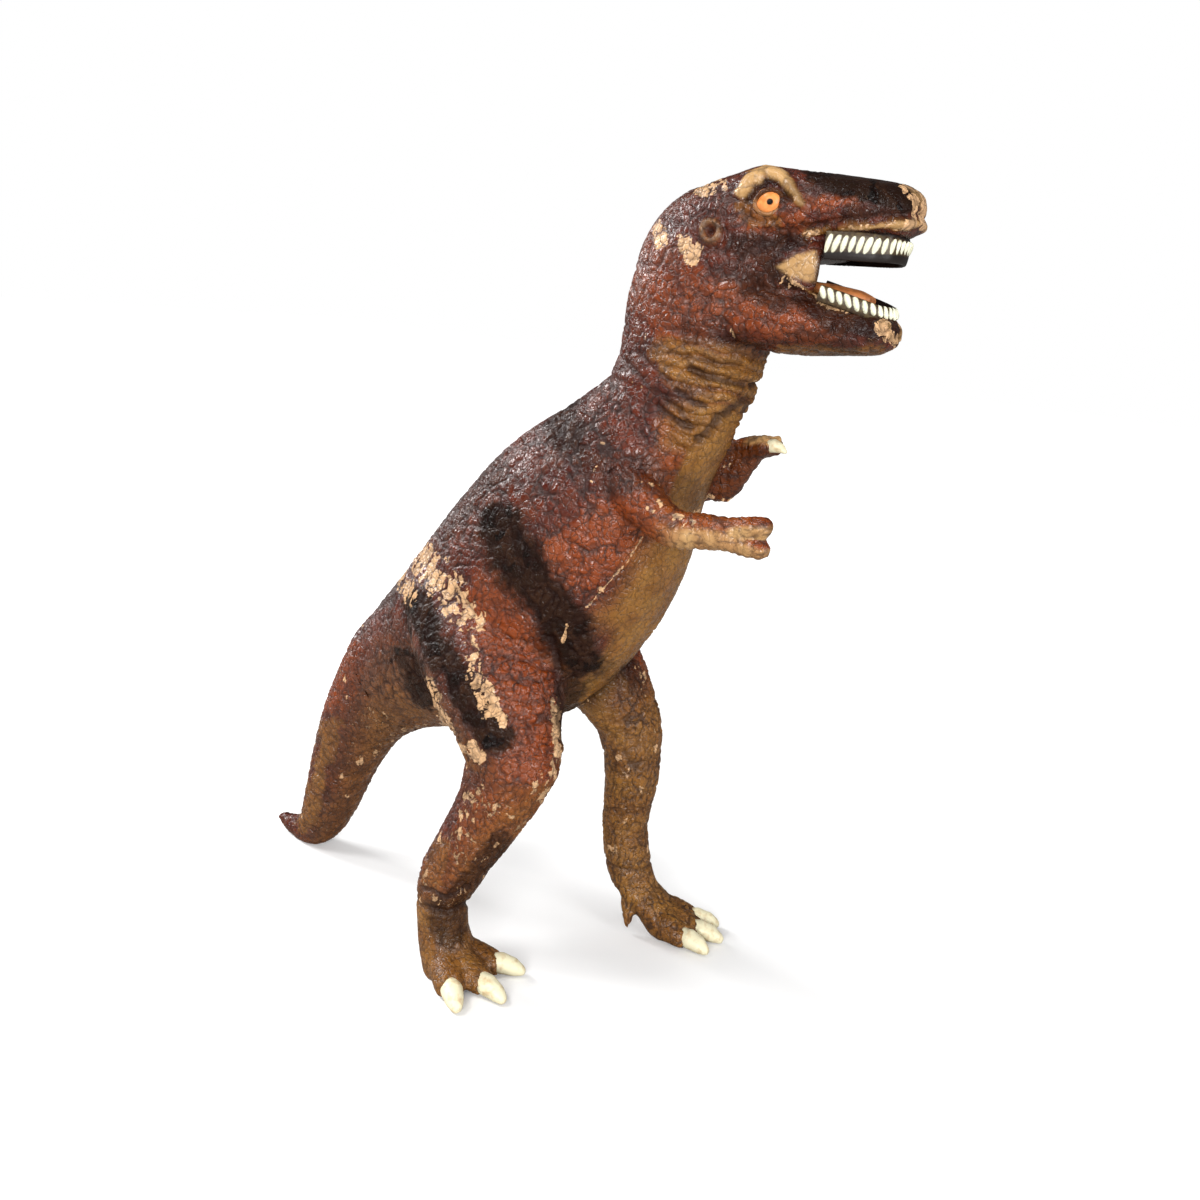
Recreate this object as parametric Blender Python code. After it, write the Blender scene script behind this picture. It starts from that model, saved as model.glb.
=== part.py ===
"""Toy dinosaur figure, about 236 mm tall, standing on two feet and its tail.

The hollow body is moulded as two half shells. Tail, legs, feet, arms and claws
plug into it, and the head turns on a plug that the two shells hold by its flange.
Metres, X forward, Y to the figure's left, Z up.
"""
import math

import bmesh
import bpy
from mathutils import Matrix, Vector

# Fits and walls
FIT_GAP = 0.0003
SHELL_WALL = 0.0032
COLLAR_WALL = 0.0040
RUMP_WALL = 0.0040
HEAD_WALL = 0.0055
CUT_OVERRUN = 0.0080

# Torso, from the tail seam to the neck seam
TAIL_SEAM_BACK = 0.0785
TAIL_SEAM_HEIGHT = 0.0725
TAIL_SEAM_DEPTH = 0.0395
TAIL_SEAM_WIDTH = 0.0340
NECK_SEAM_FORWARD = 0.0160
NECK_SEAM_HEIGHT = 0.1785
NECK_SEAM_DEPTH = 0.0382
NECK_SEAM_WIDTH = 0.0350
TORSO_DEPTH = 0.0750
TORSO_WIDTH = 0.0590
TAIL_SEAM_TILT = 51.0
NECK_SEAM_TILT = 7.0
# Each place: share of the run, share of the rise, share of depth, share of width, tilt in degrees
TORSO_SHARES = (
    (0.135, 0.080, 0.63, 0.72, 49.0),
    (0.290, 0.150, 0.80, 0.87, 42.0),
    (0.445, 0.255, 0.92, 0.97, 36.0),
    (0.590, 0.420, 0.95, 1.00, 28.0),
    (0.685, 0.548, 0.905, 1.00, 25.5),
    (0.760, 0.666, 0.824, 0.96, 26.0),
    (0.837, 0.781, 0.670, 0.84, 26.0),
    (0.918, 0.886, 0.559, 0.69, 23.0),
    (0.970, 0.956, 0.525, 0.60, 14.5),
)

# Tail, from its seam down to the ground and back
TAIL_RUN = 0.0515
TAIL_PEG_RADIUS = 0.0065
TAIL_PEG_LENGTH = 0.0110
# Each place: share of the run, share of the seam height, share of depth, share of width, tilt in degrees
TAIL_SHARES = (
    (0.17, 0.860, 0.82, 0.86, 47.0),
    (0.30, 0.700, 0.70, 0.76, 40.0),
    (0.39, 0.550, 0.60, 0.68, 31.0),
    (0.46, 0.400, 0.53, 0.61, 24.0),
    (0.53, 0.250, 0.47, 0.53, 22.0),
    (0.61, 0.130, 0.40, 0.44, 38.0),
    (0.725, 0.055, 0.30, 0.33, 62.0),
    (0.865, 0.045, 0.18, 0.21, 84.0),
    (1.00, 0.060, 0.08, 0.10, 96.0),
)

# Legs: hip, knee and ankle places, then thicknesses
HIP_HEIGHT = 0.1080
HIP_SPREAD = 0.0165
RIGHT_HIP_FORWARD = -0.0345
LEFT_HIP_FORWARD = -0.0320
RIGHT_KNEE_FORWARD = -0.0090
RIGHT_KNEE_HEIGHT = 0.0690
RIGHT_KNEE_SPREAD = 0.0275
LEFT_KNEE_FORWARD = -0.0025
LEFT_KNEE_HEIGHT = 0.0680
LEFT_KNEE_SPREAD = 0.0265
RIGHT_ANKLE_FORWARD = -0.0268
RIGHT_ANKLE_SPREAD = 0.0325
LEFT_ANKLE_FORWARD = 0.0005
LEFT_ANKLE_SPREAD = 0.0300
ANKLE_HEIGHT = 0.0220
RIGHT_THIGH_DEPTH = 0.0500
LEFT_THIGH_DEPTH = 0.0418
THIGH_WIDTH = 0.0370
RIGHT_KNEE_DEPTH = 0.0285
LEFT_KNEE_DEPTH = 0.0205
RIGHT_KNEE_WIDTH = 0.0250
LEFT_KNEE_WIDTH = 0.0225
RIGHT_CALF_DEPTH = 0.0235
LEFT_CALF_DEPTH = 0.0164
RIGHT_CALF_WIDTH = 0.0215
LEFT_CALF_WIDTH = 0.0185
ANKLE_DEPTH = 0.0155
ANKLE_WIDTH = 0.0155
HOCK_SET_BACK = 0.0022
# Thigh: share of the way from hip to knee, share of thigh depth, share of thigh width
THIGH_SHARES = (
    (-0.42, 0.34, 0.34),
    (-0.24, 0.70, 0.66),
    (0.0, 0.92, 0.88),
    (0.34, 1.00, 1.00),
    (0.68, 0.76, 0.90),
)
# Shin: share of the way from knee to ankle, shares of calf depth and width, share of hock set back
SHIN_SHARES = ((0.38, 1.00, 1.00, -0.4), (0.74, 0.88, 0.86, 0.7))
HIP_PEG_RADIUS = 0.0055
HIP_PEG_LENGTH = 0.0140
ANKLE_PEG_RADIUS = 0.0035
ANKLE_PEG_LENGTH = 0.0070

# Feet: toes reach from the ankle axis, angles in degrees to the left of straight ahead
FOOT_DEPTH = 0.0175
FOOT_WIDTH = 0.0180
RIGHT_FOOT_SET_AHEAD = 0.0045
LEFT_FOOT_SET_AHEAD = 0.0140
# Metatarsus: share of ankle height, share of the set ahead, shares of foot depth and width
FOOT_SHARES = (
    (1.0, 0.0, 0.0, 0.0),
    (0.66, 0.22, 0.88, 0.84),
    (0.34, 0.84, 0.96, 0.94),
    (-0.10, 1.32, 0.84, 0.84),
)
TOE_WIDTH = 0.0092
TOE_HEIGHT = 0.0078
CLAW_WIDTH = 0.0058
CLAW_HEIGHT = 0.0056
CLAW_LENGTH = 0.0105
CLAW_SEAT = 0.0030
SPUR_DROP = 0.0129
SPUR_WIDTH = 0.0046
SPUR_ROOT_REACH = 0.0050
RIGHT_SPUR_REACH = 0.0110
LEFT_SPUR_REACH = 0.0085
# Spur: share of the way from root to tip, share of its width
SPUR_SHARES = ((0.0, 1.0), (0.4, 1.1), (0.8, 0.62), (1.0, 0.26))
# The spur leaves the metatarsus at this share of the ankle height
SPUR_ROOT_SHARE = 0.66
# A toe starts at this share of the foot's set ahead
TOE_START_SHARE = 0.80
# Toe: share of its run, shares of toe height and width, share of toe height at its middle
TOE_SHARES = ((0.13, 1.2, 1.0, 0.62), (0.45, 1.3, 1.0, 0.62), (0.8, 1.0, 1.0, 0.46), (1.0, 0.80, 0.84, 0.40))
# Claw: share of its length, shares of claw height and width, share of claw height at its middle
CLAW_SHARES = (
    (0.0, 0.86, 0.86, 0.62),
    (0.35, 1.0, 1.0, 0.62),
    (0.72, 0.78, 0.78, 0.50),
    (0.93, 0.46, 0.46, 0.36),
    (1.0, 0.22, 0.24, 0.30),
)
RIGHT_OUTER_TOE_REACH = 0.0268
RIGHT_MIDDLE_TOE_REACH = 0.0285
RIGHT_INNER_TOE_REACH = 0.0265
LEFT_OUTER_TOE_REACH = 0.0325
LEFT_MIDDLE_TOE_REACH = 0.0344
LEFT_INNER_TOE_REACH = 0.0332
RIGHT_TOE_ANGLES = (-38.0, -8.0, 28.0)
LEFT_TOE_ANGLES = (32.0, 15.0, -2.0)
RIGHT_SPUR_ANGLE = 140.0
LEFT_SPUR_ANGLE = -46.0

# Arms: the shoulder lies behind and below the neck seam, this share of the torso's width off the middle
SHOULDER_SET_BACK = 0.0110
SHOULDER_DROP = 0.0225
SHOULDER_SPREAD_SHARE = 0.254
# The elbow from the shoulder and the wrist from the elbow: ahead, and up or down
RIGHT_UPPER_ARM_REACH = 0.0235
RIGHT_UPPER_ARM_DROP = 0.0115
RIGHT_FOREARM_REACH = 0.0170
RIGHT_FOREARM_RISE = 0.0012
LEFT_UPPER_ARM_REACH = 0.0180
LEFT_UPPER_ARM_DROP = 0.0035
LEFT_FOREARM_REACH = 0.0080
LEFT_FOREARM_RISE = 0.0118
# The elbow stands out from the shoulder and the wrist comes back in
RIGHT_ELBOW_OUT = 0.0045
LEFT_ELBOW_OUT = 0.0040
WRIST_IN = 0.0010
SHOULDER_THICKNESS = 0.0175
ELBOW_THICKNESS = 0.0105
WRIST_THICKNESS = 0.0085
FINGER_THICKNESS = 0.0060
RIGHT_FINGER_LENGTH = 0.0105
LEFT_FINGER_LENGTH = 0.0080
FINGER_SPREAD = 0.0030
ARM_PEG_RADIUS = 0.0032
ARM_PEG_LENGTH = 0.0100
HAND_CLAW_LENGTH = 0.0060
HAND_CLAW_WIDTH = 0.0030
HAND_CLAW_SEAT = 0.0016
# Arm: places along the upper arm and forearm, and how far each has thinned to the next joint
UPPER_ARM_SHARE = 0.55
UPPER_ARM_TAPER_SHARE = 0.62
FOREARM_SHARE = 0.5
FOREARM_TAPER_SHARE = 0.6
ARM_BREADTH_SHARE = 0.92
# Fingers start this share of the wrist thickness behind the wrist
FINGER_ROOT_SHARE = 0.45
FINGER_ROOT_SPREAD_SHARE = 0.36
FINGER_SHARES = ((0.0, 1.0), (0.55, 1.04), (0.85, 0.94), (1.0, 0.55))
# The arm's peg leaves it at this share of the upper arm
ARM_PEG_SHARE = 0.62
# Hand claw: share of its length, share of its width, share of its width that it droops
HAND_CLAW_SHARES = ((0.0, 0.86, 0.0), (0.4, 1.0, 0.05), (0.8, 0.62, 0.35), (1.0, 0.22, 0.7))
# The left hand turns forward and down from its forearm
LEFT_HAND_TURN = (1.6, 0, -0.35)

# Head: neck and skull in one upright moulding, with the muzzle in front
SKULL_HEIGHT = 0.0560
SKULL_DEPTH = 0.0480
SKULL_WIDTH = 0.0360
HEAD_SKIRT = 0.0006
# Where the face's forms start, and the jaw's tenon and the eyes lie, ahead of the neck seam: shares of depth
MUZZLE_START_SHARE = 0.1875
CHEEK_START_SHARE = 0.3542
JAW_START_SHARE = 0.2917
JAW_PEG_SHARE = 0.6104
EYE_AHEAD_SHARE = 0.5208
# The eyes' height above the neck seam as a share of the skull's
EYE_HEIGHT_SHARE = 0.8625
# Each place: share of skull depth ahead of the neck, share of height, depth share, width share, tilt
SKULL_SHARES = (
    (0.045, 0.130, 0.785, 0.98, 5.0),
    (0.075, 0.310, 0.83, 1.00, 2.0),
    (0.125, 0.500, 0.91, 1.00, 0.0),
    (0.180, 0.670, 0.94, 0.96, -2.0),
    (0.240, 0.820, 0.88, 0.87, -4.0),
    (0.310, 0.930, 0.72, 0.74, -6.0),
    (0.380, 1.000, 0.42, 0.44, -8.0),
)
MUZZLE_LENGTH = 0.0501
MUZZLE_HEIGHT = 0.0210
MUZZLE_WIDTH = 0.0290
# The muzzle's line above the lower jaw's
JAW_GAPE = 0.0275
# Each place: share of muzzle length, lift as share of height, height share, width share
MUZZLE_SHARES = (
    (0.00, -0.18, 0.86, 0.92),
    (0.17, -0.08, 1.03, 1.03),
    (0.38, -0.03, 0.90, 0.97),
    (0.60, 0.03, 0.70, 0.84),
    (0.80, 0.02, 0.64, 0.75),
    (0.92, 0.00, 0.58, 0.64),
    (0.98, -0.03, 0.42, 0.47),
    (1.00, -0.05, 0.22, 0.25),
)
CHEEK_LENGTH = 0.0225
# The cheek's line and height as shares of the gape, and its width as one of the muzzle's
CHEEK_LINE_SHARE = 0.4727
CHEEK_HEIGHT_SHARE = 0.7273
CHEEK_WIDTH_SHARE = 0.9138
CHEEK_SHARES = (
    (0.00, 0.0, 0.90, 0.95),
    (0.35, 0.0, 1.00, 1.00),
    (0.75, 0.0, 0.92, 0.94),
    (1.00, 0.0, 0.70, 0.86),
)
JAW_LENGTH = 0.0438
JAW_HEIGHT = 0.0175
JAW_WIDTH = 0.0300
# The lower jaw's line above the neck seam
JAW_RISE = 0.0210
# Each place: share of jaw length, lift as share of height, height share, width share
JAW_SHARES = (
    (0.00, 0.00, 0.90, 0.98),
    (0.32, 0.02, 1.00, 1.00),
    (0.55, 0.00, 0.86, 0.91),
    (0.77, -0.03, 0.70, 0.78),
    (0.90, -0.05, 0.58, 0.66),
    (0.97, -0.05, 0.40, 0.48),
    (1.00, -0.04, 0.22, 0.26),
)
JAW_PEG_RADIUS = 0.0034
JAW_PEG_LENGTH = 0.0068
UPPER_TOOTH_LENGTH = 0.0046
LOWER_TOOTH_LENGTH = 0.0040
TOOTH_WIDTH = 0.0017
GUM_WIDTH = 0.0018
GUM_HEIGHT = 0.0026
TOOTH_ROW_INSET = 0.0019
UPPER_TOOTH_COUNT = 11
LOWER_TOOTH_COUNT = 10
# The tooth rows run from this share of the jaw's length to its front
UPPER_ROW_SHARES = (0.625, 0.75, 0.88, 0.945)
LOWER_ROW_SHARES = (0.605, 0.74, 0.86, 0.925)
PALATE_THICKNESS = 0.0022
PALATE_INSET = 0.0045
TONGUE_HEIGHT = 0.0036
TONGUE_WIDTH = 0.0110
# A row's front bows out by this share of its half width
ROW_FRONT_SHARE = 0.35
# A tooth's middle above the gum's middle, its width in its pitch, its thickness and its tip
TOOTH_RISE_SHARE = 0.38
TOOTH_PITCH_SHARE = 0.86
TOOTH_THICK_SHARE = 0.8
TOOTH_TIP_SHARE = 0.48
# Palate: share of muzzle length, share of palate thickness
PALATE_SHARES = ((0.60, 0.9), (0.72, 1.0), (0.84, 1.0), (0.92, 0.8))
PALATE_SINK_SHARE = 0.15
# Mouth floor: share of jaw length, shares of its height and width
TONGUE_SHARES = ((0.595, 0.80, 0.92), (0.66, 1.00, 1.00), (0.76, 0.85, 0.84), (0.83, 0.60, 0.45))
EYE_RADIUS = 0.0033
EYE_SPREAD = 0.0121
PLUG_RADIUS = 0.0075
PLUG_FLANGE_RADIUS = 0.0105
PLUG_FLANGE_HEIGHT = 0.0024
PLUG_RISE = 0.0085

# Facets round a piece and rings between two places
BODY_SEGMENTS = 28
JAW_SEGMENTS = 24
LIMB_SEGMENTS = 20
ARM_SEGMENTS = 16
SMALL_SEGMENTS = 12
TOOTH_SEGMENTS = 8
FINE_STEPS = 12
GUM_STEPS = 3
BODY_STEPS = 2
LIMB_STEPS = 2
BODY_POWER = 2.2
MUZZLE_POWER = 2.6
ROUND_POWER = 2.0


def node(name, mesh):
    """Link a mesh as a named piece."""
    made = bpy.data.objects.new(name, mesh)
    bpy.context.collection.objects.link(made)
    return made


def station(centre, front, side, half_depth, half_width):
    """One section of a moulded form: where it is, how it faces and how big it is."""
    return {
        "centre": Vector(centre),
        "front": Vector(front).normalized(),
        "side": Vector(side).normalized(),
        "depth": half_depth,
        "width": half_width,
    }


def curve_value(before, start, end, after, t):
    """Smooth value between start and end, eased by the neighbours on both sides."""
    slope_start = (end - before) * 0.5
    slope_end = (after - start) * 0.5
    a = 2 * t ** 3 - 3 * t ** 2 + 1
    b = t ** 3 - 2 * t ** 2 + t
    c = 3 * t ** 2 - 2 * t ** 3
    d = t ** 3 - t ** 2
    return start * a + slope_start * b + end * c + slope_end * d


def smooth_stations(stations, steps):
    """Put steps sections between each two given ones."""
    rows = []
    last = len(stations) - 1
    for index in range(last):
        group = (
            stations[max(index - 1, 0)],
            stations[index],
            stations[index + 1],
            stations[min(index + 2, last)],
        )
        for step in range(steps):
            t = step / steps
            row = {}
            for key in ("centre", "front", "side", "depth", "width"):
                row[key] = curve_value(*(item[key] for item in group), t)
            rows.append(row)
    rows.append(dict(stations[last]))
    for row in rows:
        row["front"] = row["front"].normalized()
        side = row["side"] - row["front"] * row["side"].dot(row["front"])
        row["side"] = side.normalized()
    return rows


def moved_end(row, neighbour, distance):
    """The end section moved away from its neighbour along its own axis."""
    axis = row["front"].cross(row["side"]).normalized()
    if axis.dot(row["centre"] - neighbour["centre"]) < 0:
        axis = -axis
    moved = dict(row)
    moved["centre"] = row["centre"] + axis * distance
    return moved


def ring_place(row, turn, grow, power):
    """A point of the section's rounded outline."""
    cosine = math.cos(turn)
    sine = math.sin(turn)
    across = math.copysign(abs(cosine) ** (2 / power), cosine)
    ahead = math.copysign(abs(sine) ** (2 / power), sine)
    width = row["side"] * ((row["width"] + grow) * across)
    depth = row["front"] * ((row["depth"] + grow) * ahead)
    return row["centre"] + width + depth


def loft(name, stations, segments, steps=1, grow=0.0, power=2.0, ends=(0.0, 0.0)):
    """Skin a closed form over the sections; ends move the first and last one outwards."""
    rows = smooth_stations(stations, steps)
    if ends[0] != 0:
        rows[0] = moved_end(rows[0], rows[1], ends[0])
    if ends[1] != 0:
        rows[-1] = moved_end(rows[-1], rows[-2], ends[1])
    form = bmesh.new()
    order = form.verts.layers.int.new("order")
    circle = bmesh.ops.create_circle(form, segments=segments, radius=1, cap_ends=False)
    for index, vertex in enumerate(circle["verts"]):
        vertex[order] = index
        vertex.co = ring_place(rows[0], math.tau * index / segments, grow, power)
    edges = form.edges[:]
    for row in rows[1:]:
        made = bmesh.ops.extrude_edge_only(form, edges=edges)["geom"]
        edges = [item for item in made if isinstance(item, bmesh.types.BMEdge)]
        for vertex in made:
            if isinstance(vertex, bmesh.types.BMVert):
                turn = math.tau * vertex[order] / segments
                vertex.co = ring_place(row, turn, grow, power)
    bmesh.ops.holes_fill(form, edges=form.edges[:], sides=segments)
    bmesh.ops.recalc_face_normals(form, faces=form.faces[:])
    return finish_form(name, form)


def finish_form(name, form):
    """Turn an edited form into a piece."""
    mesh = bpy.data.meshes.new(name)
    form.to_mesh(mesh)
    form.free()
    return node(name, mesh)


def rod(name, start, end, radius, segments):
    """A round rod between two places."""
    start = Vector(start)
    end = Vector(end)
    reach = end - start
    turn = Vector((0, 0, 1)).rotation_difference(reach).to_matrix().to_4x4()
    form = bmesh.new()
    bmesh.ops.create_cone(
        form,
        cap_ends=True,
        segments=segments,
        radius1=radius,
        radius2=radius,
        depth=reach.length,
        matrix=Matrix.Translation((start + end) / 2) @ turn,
    )
    return finish_form(name, form)


def ball(name, centre, radius, segments):
    """A round ball."""
    form = bmesh.new()
    bmesh.ops.create_uvsphere(
        form,
        u_segments=segments,
        v_segments=segments // 2,
        radius=radius,
        matrix=Matrix.Translation(centre),
    )
    return finish_form(name, form)


def combine(target, tool, operation):
    """Add the tool to the target or cut it away, and remove the tool."""
    tool.hide_render = True
    tool.display_type = "WIRE"
    step = target.modifiers.new("combine", "BOOLEAN")
    step.operation = operation
    step.solver = "EXACT"
    step.object = tool
    graph = bpy.context.evaluated_depsgraph_get()
    mesh = bpy.data.meshes.new_from_object(target.evaluated_get(graph))
    target.modifiers.clear()
    old = target.data
    target.data = mesh
    bpy.data.meshes.remove(old)
    bpy.data.objects.remove(tool)
    return target


def slice_off(target, place, outward):
    """Cut a piece flat at a place and drop what lies outward of it."""
    form = bmesh.new()
    form.from_mesh(target.data)
    parts = form.verts[:] + form.edges[:] + form.faces[:]
    bmesh.ops.bisect_plane(form, geom=parts, plane_co=place, plane_no=outward, clear_outer=True)
    rim = [edge for edge in form.edges if edge.is_boundary]
    bmesh.ops.holes_fill(form, edges=rim, sides=0)
    bmesh.ops.recalc_face_normals(form, faces=form.faces[:])
    form.to_mesh(target.data)
    form.free()
    return target


def add(target, tool):
    """Join the tool to the target."""
    return combine(target, tool, "UNION")


def cut(target, tool):
    """Cut the tool away from the target."""
    return combine(target, tool, "DIFFERENCE")


def lerp(start, end, share):
    """The place at a share of the way from start to end."""
    return start + (end - start) * share


def midline_station(forward, height, tilt, depth, width):
    """A section of a form on the figure's middle plane; tilt turns its front down."""
    angle = math.radians(tilt)
    front = (math.cos(angle), 0, -math.sin(angle))
    return station((forward, 0, height), front, (0, 1, 0), depth / 2, width / 2)


def torso_stations():
    """Sections of the torso from the tail seam to the neck seam."""
    run = TAIL_SEAM_BACK + NECK_SEAM_FORWARD
    rise = NECK_SEAM_HEIGHT - TAIL_SEAM_HEIGHT
    rows = [
        midline_station(
            -TAIL_SEAM_BACK, TAIL_SEAM_HEIGHT, TAIL_SEAM_TILT, TAIL_SEAM_DEPTH, TAIL_SEAM_WIDTH
        )
    ]
    for along, up, depth, width, tilt in TORSO_SHARES:
        rows.append(
            midline_station(
                -TAIL_SEAM_BACK + run * along,
                TAIL_SEAM_HEIGHT + rise * up,
                tilt,
                TORSO_DEPTH * depth,
                TORSO_WIDTH * width,
            )
        )
    rows.append(
        midline_station(
            NECK_SEAM_FORWARD, NECK_SEAM_HEIGHT, NECK_SEAM_TILT, NECK_SEAM_DEPTH, NECK_SEAM_WIDTH
        )
    )
    return rows


def tail_stations():
    """Sections of the tail from its seam to the tip."""
    rows = [
        midline_station(
            -TAIL_SEAM_BACK, TAIL_SEAM_HEIGHT, TAIL_SEAM_TILT, TAIL_SEAM_DEPTH, TAIL_SEAM_WIDTH
        )
    ]
    for along, up, depth, width, tilt in TAIL_SHARES:
        rows.append(
            midline_station(
                -TAIL_SEAM_BACK - TAIL_RUN * along,
                TAIL_SEAM_HEIGHT * up,
                tilt,
                TAIL_SEAM_DEPTH * depth,
                TAIL_SEAM_WIDTH * width,
            )
        )
    return rows


def skull_stations():
    """Sections of the head from the neck seam to the crown."""
    skirt = HEAD_SKIRT * 2
    rows = [
        midline_station(
            NECK_SEAM_FORWARD,
            NECK_SEAM_HEIGHT,
            NECK_SEAM_TILT,
            NECK_SEAM_DEPTH + skirt,
            NECK_SEAM_WIDTH + skirt,
        )
    ]
    for ahead, up, depth, width, tilt in SKULL_SHARES:
        rows.append(
            midline_station(
                NECK_SEAM_FORWARD + SKULL_DEPTH * ahead,
                NECK_SEAM_HEIGHT + SKULL_HEIGHT * up,
                tilt,
                SKULL_DEPTH * depth,
                SKULL_WIDTH * width,
            )
        )
    return rows


def head_forward(share):
    """A place ahead of the neck seam, as a share of the skull's depth."""
    return NECK_SEAM_FORWARD + SKULL_DEPTH * share


def jaw_line():
    """Height of the lower jaw's line."""
    return NECK_SEAM_HEIGHT + JAW_RISE


def level_stations(start, length, line_height, height, width, shares):
    """Sections of a form that runs forward, such as the muzzle or the lower jaw."""
    rows = []
    for along, lift, tall, wide in shares:
        centre = (start + length * along, 0, line_height + height * lift)
        rows.append(station(centre, (0, 0, 1), (0, 1, 0), height * tall / 2, width * wide / 2))
    return rows


def muzzle_stations():
    """Sections of the muzzle from inside the skull to the nose."""
    start = head_forward(MUZZLE_START_SHARE)
    line = jaw_line() + JAW_GAPE
    return level_stations(start, MUZZLE_LENGTH, line, MUZZLE_HEIGHT, MUZZLE_WIDTH, MUZZLE_SHARES)


def cheek_stations():
    """Sections of the cheek from inside the skull to the corner of the mouth."""
    start = head_forward(CHEEK_START_SHARE)
    line = jaw_line() + JAW_GAPE * CHEEK_LINE_SHARE
    height = JAW_GAPE * CHEEK_HEIGHT_SHARE
    width = MUZZLE_WIDTH * CHEEK_WIDTH_SHARE
    return level_stations(start, CHEEK_LENGTH, line, height, width, CHEEK_SHARES)


def jaw_stations():
    """Sections of the lower jaw from inside the skull to the chin."""
    start = head_forward(JAW_START_SHARE)
    return level_stations(start, JAW_LENGTH, jaw_line(), JAW_HEIGHT, JAW_WIDTH, JAW_SHARES)


def torso_form(name, grow):
    """The torso's outside, grown for a cutter."""
    return loft(
        name,
        torso_stations(),
        BODY_SEGMENTS,
        steps=BODY_STEPS,
        grow=grow,
        power=BODY_POWER,
        ends=(grow, grow),
    )


def skull_form(name, grow):
    """The skull and neck's outside, grown for a cutter."""
    return loft(
        name,
        skull_stations(),
        BODY_SEGMENTS,
        steps=BODY_STEPS,
        grow=grow,
        power=BODY_POWER,
        ends=(-FIT_GAP if grow == 0 else grow, grow),
    )


def seam_frame():
    """Centre and axis of the neck seam."""
    angle = math.radians(NECK_SEAM_TILT)
    return Vector((NECK_SEAM_FORWARD, 0, NECK_SEAM_HEIGHT)), Vector((math.sin(angle), 0, math.cos(angle)))


def tail_frame():
    """Centre and axis of the tail seam, pointing into the torso."""
    angle = math.radians(TAIL_SEAM_TILT)
    return Vector((-TAIL_SEAM_BACK, 0, TAIL_SEAM_HEIGHT)), Vector((math.sin(angle), 0, math.cos(angle)))


def side_vector(side, forward, spread, height):
    """A place on the figure's right or left side."""
    return Vector((forward, side * spread, height))


LEGS = {
    -1: {
        "hip": (RIGHT_HIP_FORWARD, HIP_SPREAD, HIP_HEIGHT),
        "knee": (RIGHT_KNEE_FORWARD, RIGHT_KNEE_SPREAD, RIGHT_KNEE_HEIGHT),
        "ankle": (RIGHT_ANKLE_FORWARD, RIGHT_ANKLE_SPREAD, ANKLE_HEIGHT),
        "thigh": (RIGHT_THIGH_DEPTH, THIGH_WIDTH),
        "knee_size": (RIGHT_KNEE_DEPTH, RIGHT_KNEE_WIDTH),
        "calf": (RIGHT_CALF_DEPTH, RIGHT_CALF_WIDTH),
        "reaches": (RIGHT_OUTER_TOE_REACH, RIGHT_MIDDLE_TOE_REACH, RIGHT_INNER_TOE_REACH),
        "angles": RIGHT_TOE_ANGLES,
        "set": RIGHT_FOOT_SET_AHEAD,
        "spur": RIGHT_SPUR_ANGLE,
        "spur_reach": RIGHT_SPUR_REACH,
        "label": "right",
    },
    1: {
        "hip": (LEFT_HIP_FORWARD, HIP_SPREAD, HIP_HEIGHT),
        "knee": (LEFT_KNEE_FORWARD, LEFT_KNEE_SPREAD, LEFT_KNEE_HEIGHT),
        "ankle": (LEFT_ANKLE_FORWARD, LEFT_ANKLE_SPREAD, ANKLE_HEIGHT),
        "thigh": (LEFT_THIGH_DEPTH, THIGH_WIDTH),
        "knee_size": (LEFT_KNEE_DEPTH, LEFT_KNEE_WIDTH),
        "calf": (LEFT_CALF_DEPTH, LEFT_CALF_WIDTH),
        "reaches": (LEFT_OUTER_TOE_REACH, LEFT_MIDDLE_TOE_REACH, LEFT_INNER_TOE_REACH),
        "angles": LEFT_TOE_ANGLES,
        "set": LEFT_FOOT_SET_AHEAD,
        "spur": LEFT_SPUR_ANGLE,
        "spur_reach": LEFT_SPUR_REACH,
        "label": "left",
    },
}
ARMS = {
    -1: {
        "upper_arm": (RIGHT_UPPER_ARM_REACH, RIGHT_ELBOW_OUT, -RIGHT_UPPER_ARM_DROP),
        "forearm": (RIGHT_FOREARM_REACH, -WRIST_IN, RIGHT_FOREARM_RISE),
        "finger": RIGHT_FINGER_LENGTH,
        "label": "right",
    },
    1: {
        "upper_arm": (LEFT_UPPER_ARM_REACH, LEFT_ELBOW_OUT, -LEFT_UPPER_ARM_DROP),
        "forearm": (LEFT_FOREARM_REACH, -WRIST_IN, LEFT_FOREARM_RISE),
        "finger": LEFT_FINGER_LENGTH,
        "label": "left",
    },
}


def limb_station(centre, depth, width):
    """A level section of an upright limb."""
    return station(centre, (1, 0, 0), (0, 1, 0), depth / 2, width / 2)


def leg_stations(side):
    """Sections of a leg from inside the hip to the ankle seam."""
    leg = LEGS[side]
    hip = side_vector(side, *leg["hip"])
    knee = side_vector(side, *leg["knee"])
    ankle = side_vector(side, *leg["ankle"])
    rows = []
    for share, depth, width in THIGH_SHARES:
        rows.append(limb_station(lerp(hip, knee, share), leg["thigh"][0] * depth, leg["thigh"][1] * width))
    rows.append(limb_station(knee, *leg["knee_size"]))
    for share, depth, width, back in SHIN_SHARES:
        centre = lerp(knee, ankle, share) - Vector((HOCK_SET_BACK * back, 0, 0))
        rows.append(limb_station(centre, leg["calf"][0] * depth, leg["calf"][1] * width))
    rows.append(limb_station(ankle, ANKLE_DEPTH, ANKLE_WIDTH))
    return rows


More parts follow.
